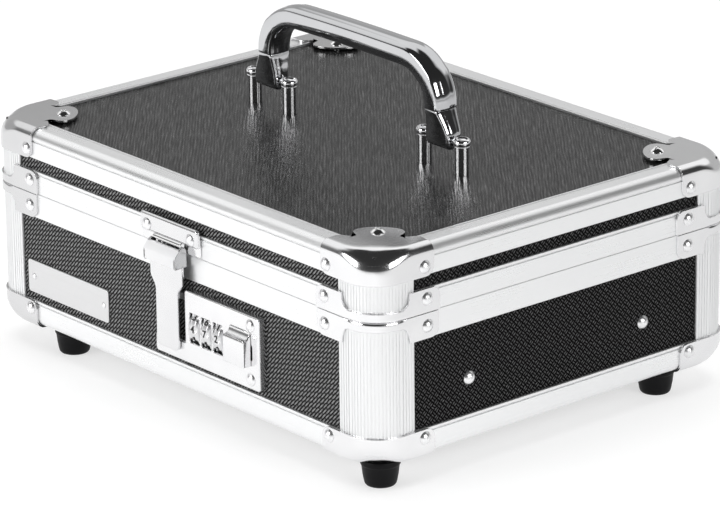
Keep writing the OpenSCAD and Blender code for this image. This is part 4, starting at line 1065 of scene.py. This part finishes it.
ll, lh = bmm("lid_foam")
place(egg_crate("vis_lid_foam", ll.x, lh.x, ll.y, lh.y, lh.z - 1.5, ll.z, 22.0, 11.4, True), "lid", "foam", "lid_foam")
ffl, ffh = bmm("floor_foam")
place(sheet("vis_floor_foam", [rrect(ffl.x, ffh.x, ffl.y, ffh.y, 5)], ffh.z - ffl.z, 1.2, "foam", (0, 0, (ffl.z + ffh.z) / 2), (1, 0, 0), (0, 1, 0)), "base", "foam", "floor_foam")

# ======================================================================
# floor, light, camera
# ======================================================================
sc = bpy.context.scene
fm, t = new_mat("studio_floor")
pb = t.finish(color=(0.42, 0.42, 0.42, 1), rough=0.9, spec=0.0)
pb.inputs["Emission Color"].default_value = (1, 1, 1, 1)
fc = t.add("ShaderNodeTexCoord")
fs = t.add("ShaderNodeSeparateXYZ", {0: fc.outputs["Object"]})
# painted shadow: for reflections the floor's glow drops from 0.62 to 0.36 towards +X+Y; camera rays see the floor
# evenly at 0.62
away = t.math("ADD", t.math("MULTIPLY", fs.outputs[0], 0.76), t.math("MULTIPLY", fs.outputs[1], 0.65))
dim = t.ramp(t.math("ADD", away, 0.5), [(0.0, 0.62), (0.56, 0.62), (0.80, 0.36), (1.0, 0.36)])
flp = t.add("ShaderNodeLightPath")
em = t.math("MAXIMUM", dim, t.math("MULTIPLY", flp.outputs["Is Camera Ray"], 0.62))
t.put(pb.inputs["Emission Strength"], em)
bm = bmesh.new()
S = 9000
fv = [bm.verts.new((x, y, 0)) for x, y in ((-S, -S), (S, -S), (S, S), (-S, S))]
bm.faces.new(fv)
M["floor"] = fm
floor = add_obj("studio_floor", bm, "floor")

world = bpy.data.worlds.new("studio")
sc.world = world
world.use_nodes = True
wt = Tree(world.node_tree)
world.node_tree.nodes.clear()
lp = wt.add("ShaderNodeLightPath")
tc = wt.add("ShaderNodeTexCoord")
sep = wt.add("ShaderNodeSeparateXYZ", {0: tc.outputs["Generated"]})
# height of the direction: dark room near the horizon, grey above
zup = sep.outputs[2]
band = wt.ramp(wt.math("ADD", wt.math("MULTIPLY", zup, 0.5), 0.5), [(0.0, 0.9), (0.499, 0.9), (0.503, 0.62), (0.53, 0.05), (0.80, 0.03), (1.0, 0.03)])
# behind the case (towards +Y and -X, away from the camera) a grey backdrop with a bright band above it
bx = wt.math("MULTIPLY", sep.outputs[0], -0.765)
by = wt.math("MULTIPLY", sep.outputs[1], 0.644)
back = wt.math("ADD", bx, by)
bk = wt.ramp(wt.math("ADD", wt.math("MULTIPLY", back, 0.5), 0.5), [(0.0, 0.0), (0.56, 0.0), (0.68, 1.0), (1.0, 1.0)])
drop = wt.ramp(zup, [(0.0, 0.5), (0.40, 0.47), (0.47, 1.0), (0.80, 1.0), (0.86, 0.03), (1.0, 0.03)])
room = wt.mix(bk, band, wt.mix(0.0, drop, (0, 0, 0, 1)))
bgl = wt.add("ShaderNodeBackground", {0: room, 1: 1.0})
bgc = wt.add("ShaderNodeBackground", {0: (1, 1, 1, 1), 1: 1.0})
mx = wt.add("ShaderNodeMixShader", {0: lp.outputs["Is Camera Ray"], 1: bgl.outputs[0], 2: bgc.outputs[0]})
wo = wt.add("ShaderNodeOutputWorld")
wt.t.links.new(mx.outputs[0], wo.inputs[0])


def area(name, loc, target, size, energy, size_y=None):
    li = bpy.data.lights.new(name, "AREA")
    li.shape = "RECTANGLE"
    li.size = size
    li.size_y = size_y or size
    li.energy = energy
    ob = bpy.data.objects.new(name, li)
    col.objects.link(ob)
    ob.location = loc
    ob.rotation_mode = "QUATERNION"
    ob.rotation_quaternion = (Vector(target) - Vector(loc)).to_track_quat("-Z", "Y")
    return ob


top = area("top_box", (-0.1, 0.1, 1.7), (0, 0, 0), 1.5, 22, 1.5)
top.visible_glossy = False
area("front_left", (-0.42, -1.68, 0.72), (0, 0, 0.06), 1.0, 16, 0.8)
area("right", (1.85, 0.12, 0.8), (0, 0, 0.06), 1.1, 16, 0.8)

cam = bpy.data.cameras.new("camera")
co = bpy.data.objects.new("camera", cam)
col.objects.link(co)
sc.camera = co
cam.sensor_width = 36
cam.lens = 4655.88 / 720 * 36
az, el, roll = math.radians(49.892), math.radians(19.464), -0.0111
back_v = Vector((math.sin(az) * math.cos(el), -math.cos(az) * math.cos(el), math.sin(el)))
fwd = -back_v
rt = fwd.cross(Vector((0, 0, 1))).normalized()
up = rt.cross(fwd)
c_, s_ = math.cos(roll), math.sin(roll)
r2 = c_ * rt + s_ * up
u2 = -s_ * rt + c_ * up
mw = Matrix(((r2.x, u2.x, back_v.x, 1.5244), (r2.y, u2.y, back_v.y, -1.2826), (r2.z, u2.z, back_v.z, 0.7530), (0, 0, 0, 1)))
co.matrix_world = mw
cam.clip_start, cam.clip_end = 0.05, 60
cam.shift_x = cam.shift_y = 0.0

sc.view_settings.view_transform = "Standard"
sc.view_settings.look = "None"
sc.view_settings.exposure = 0.0

bpy.context.view_layer.update()
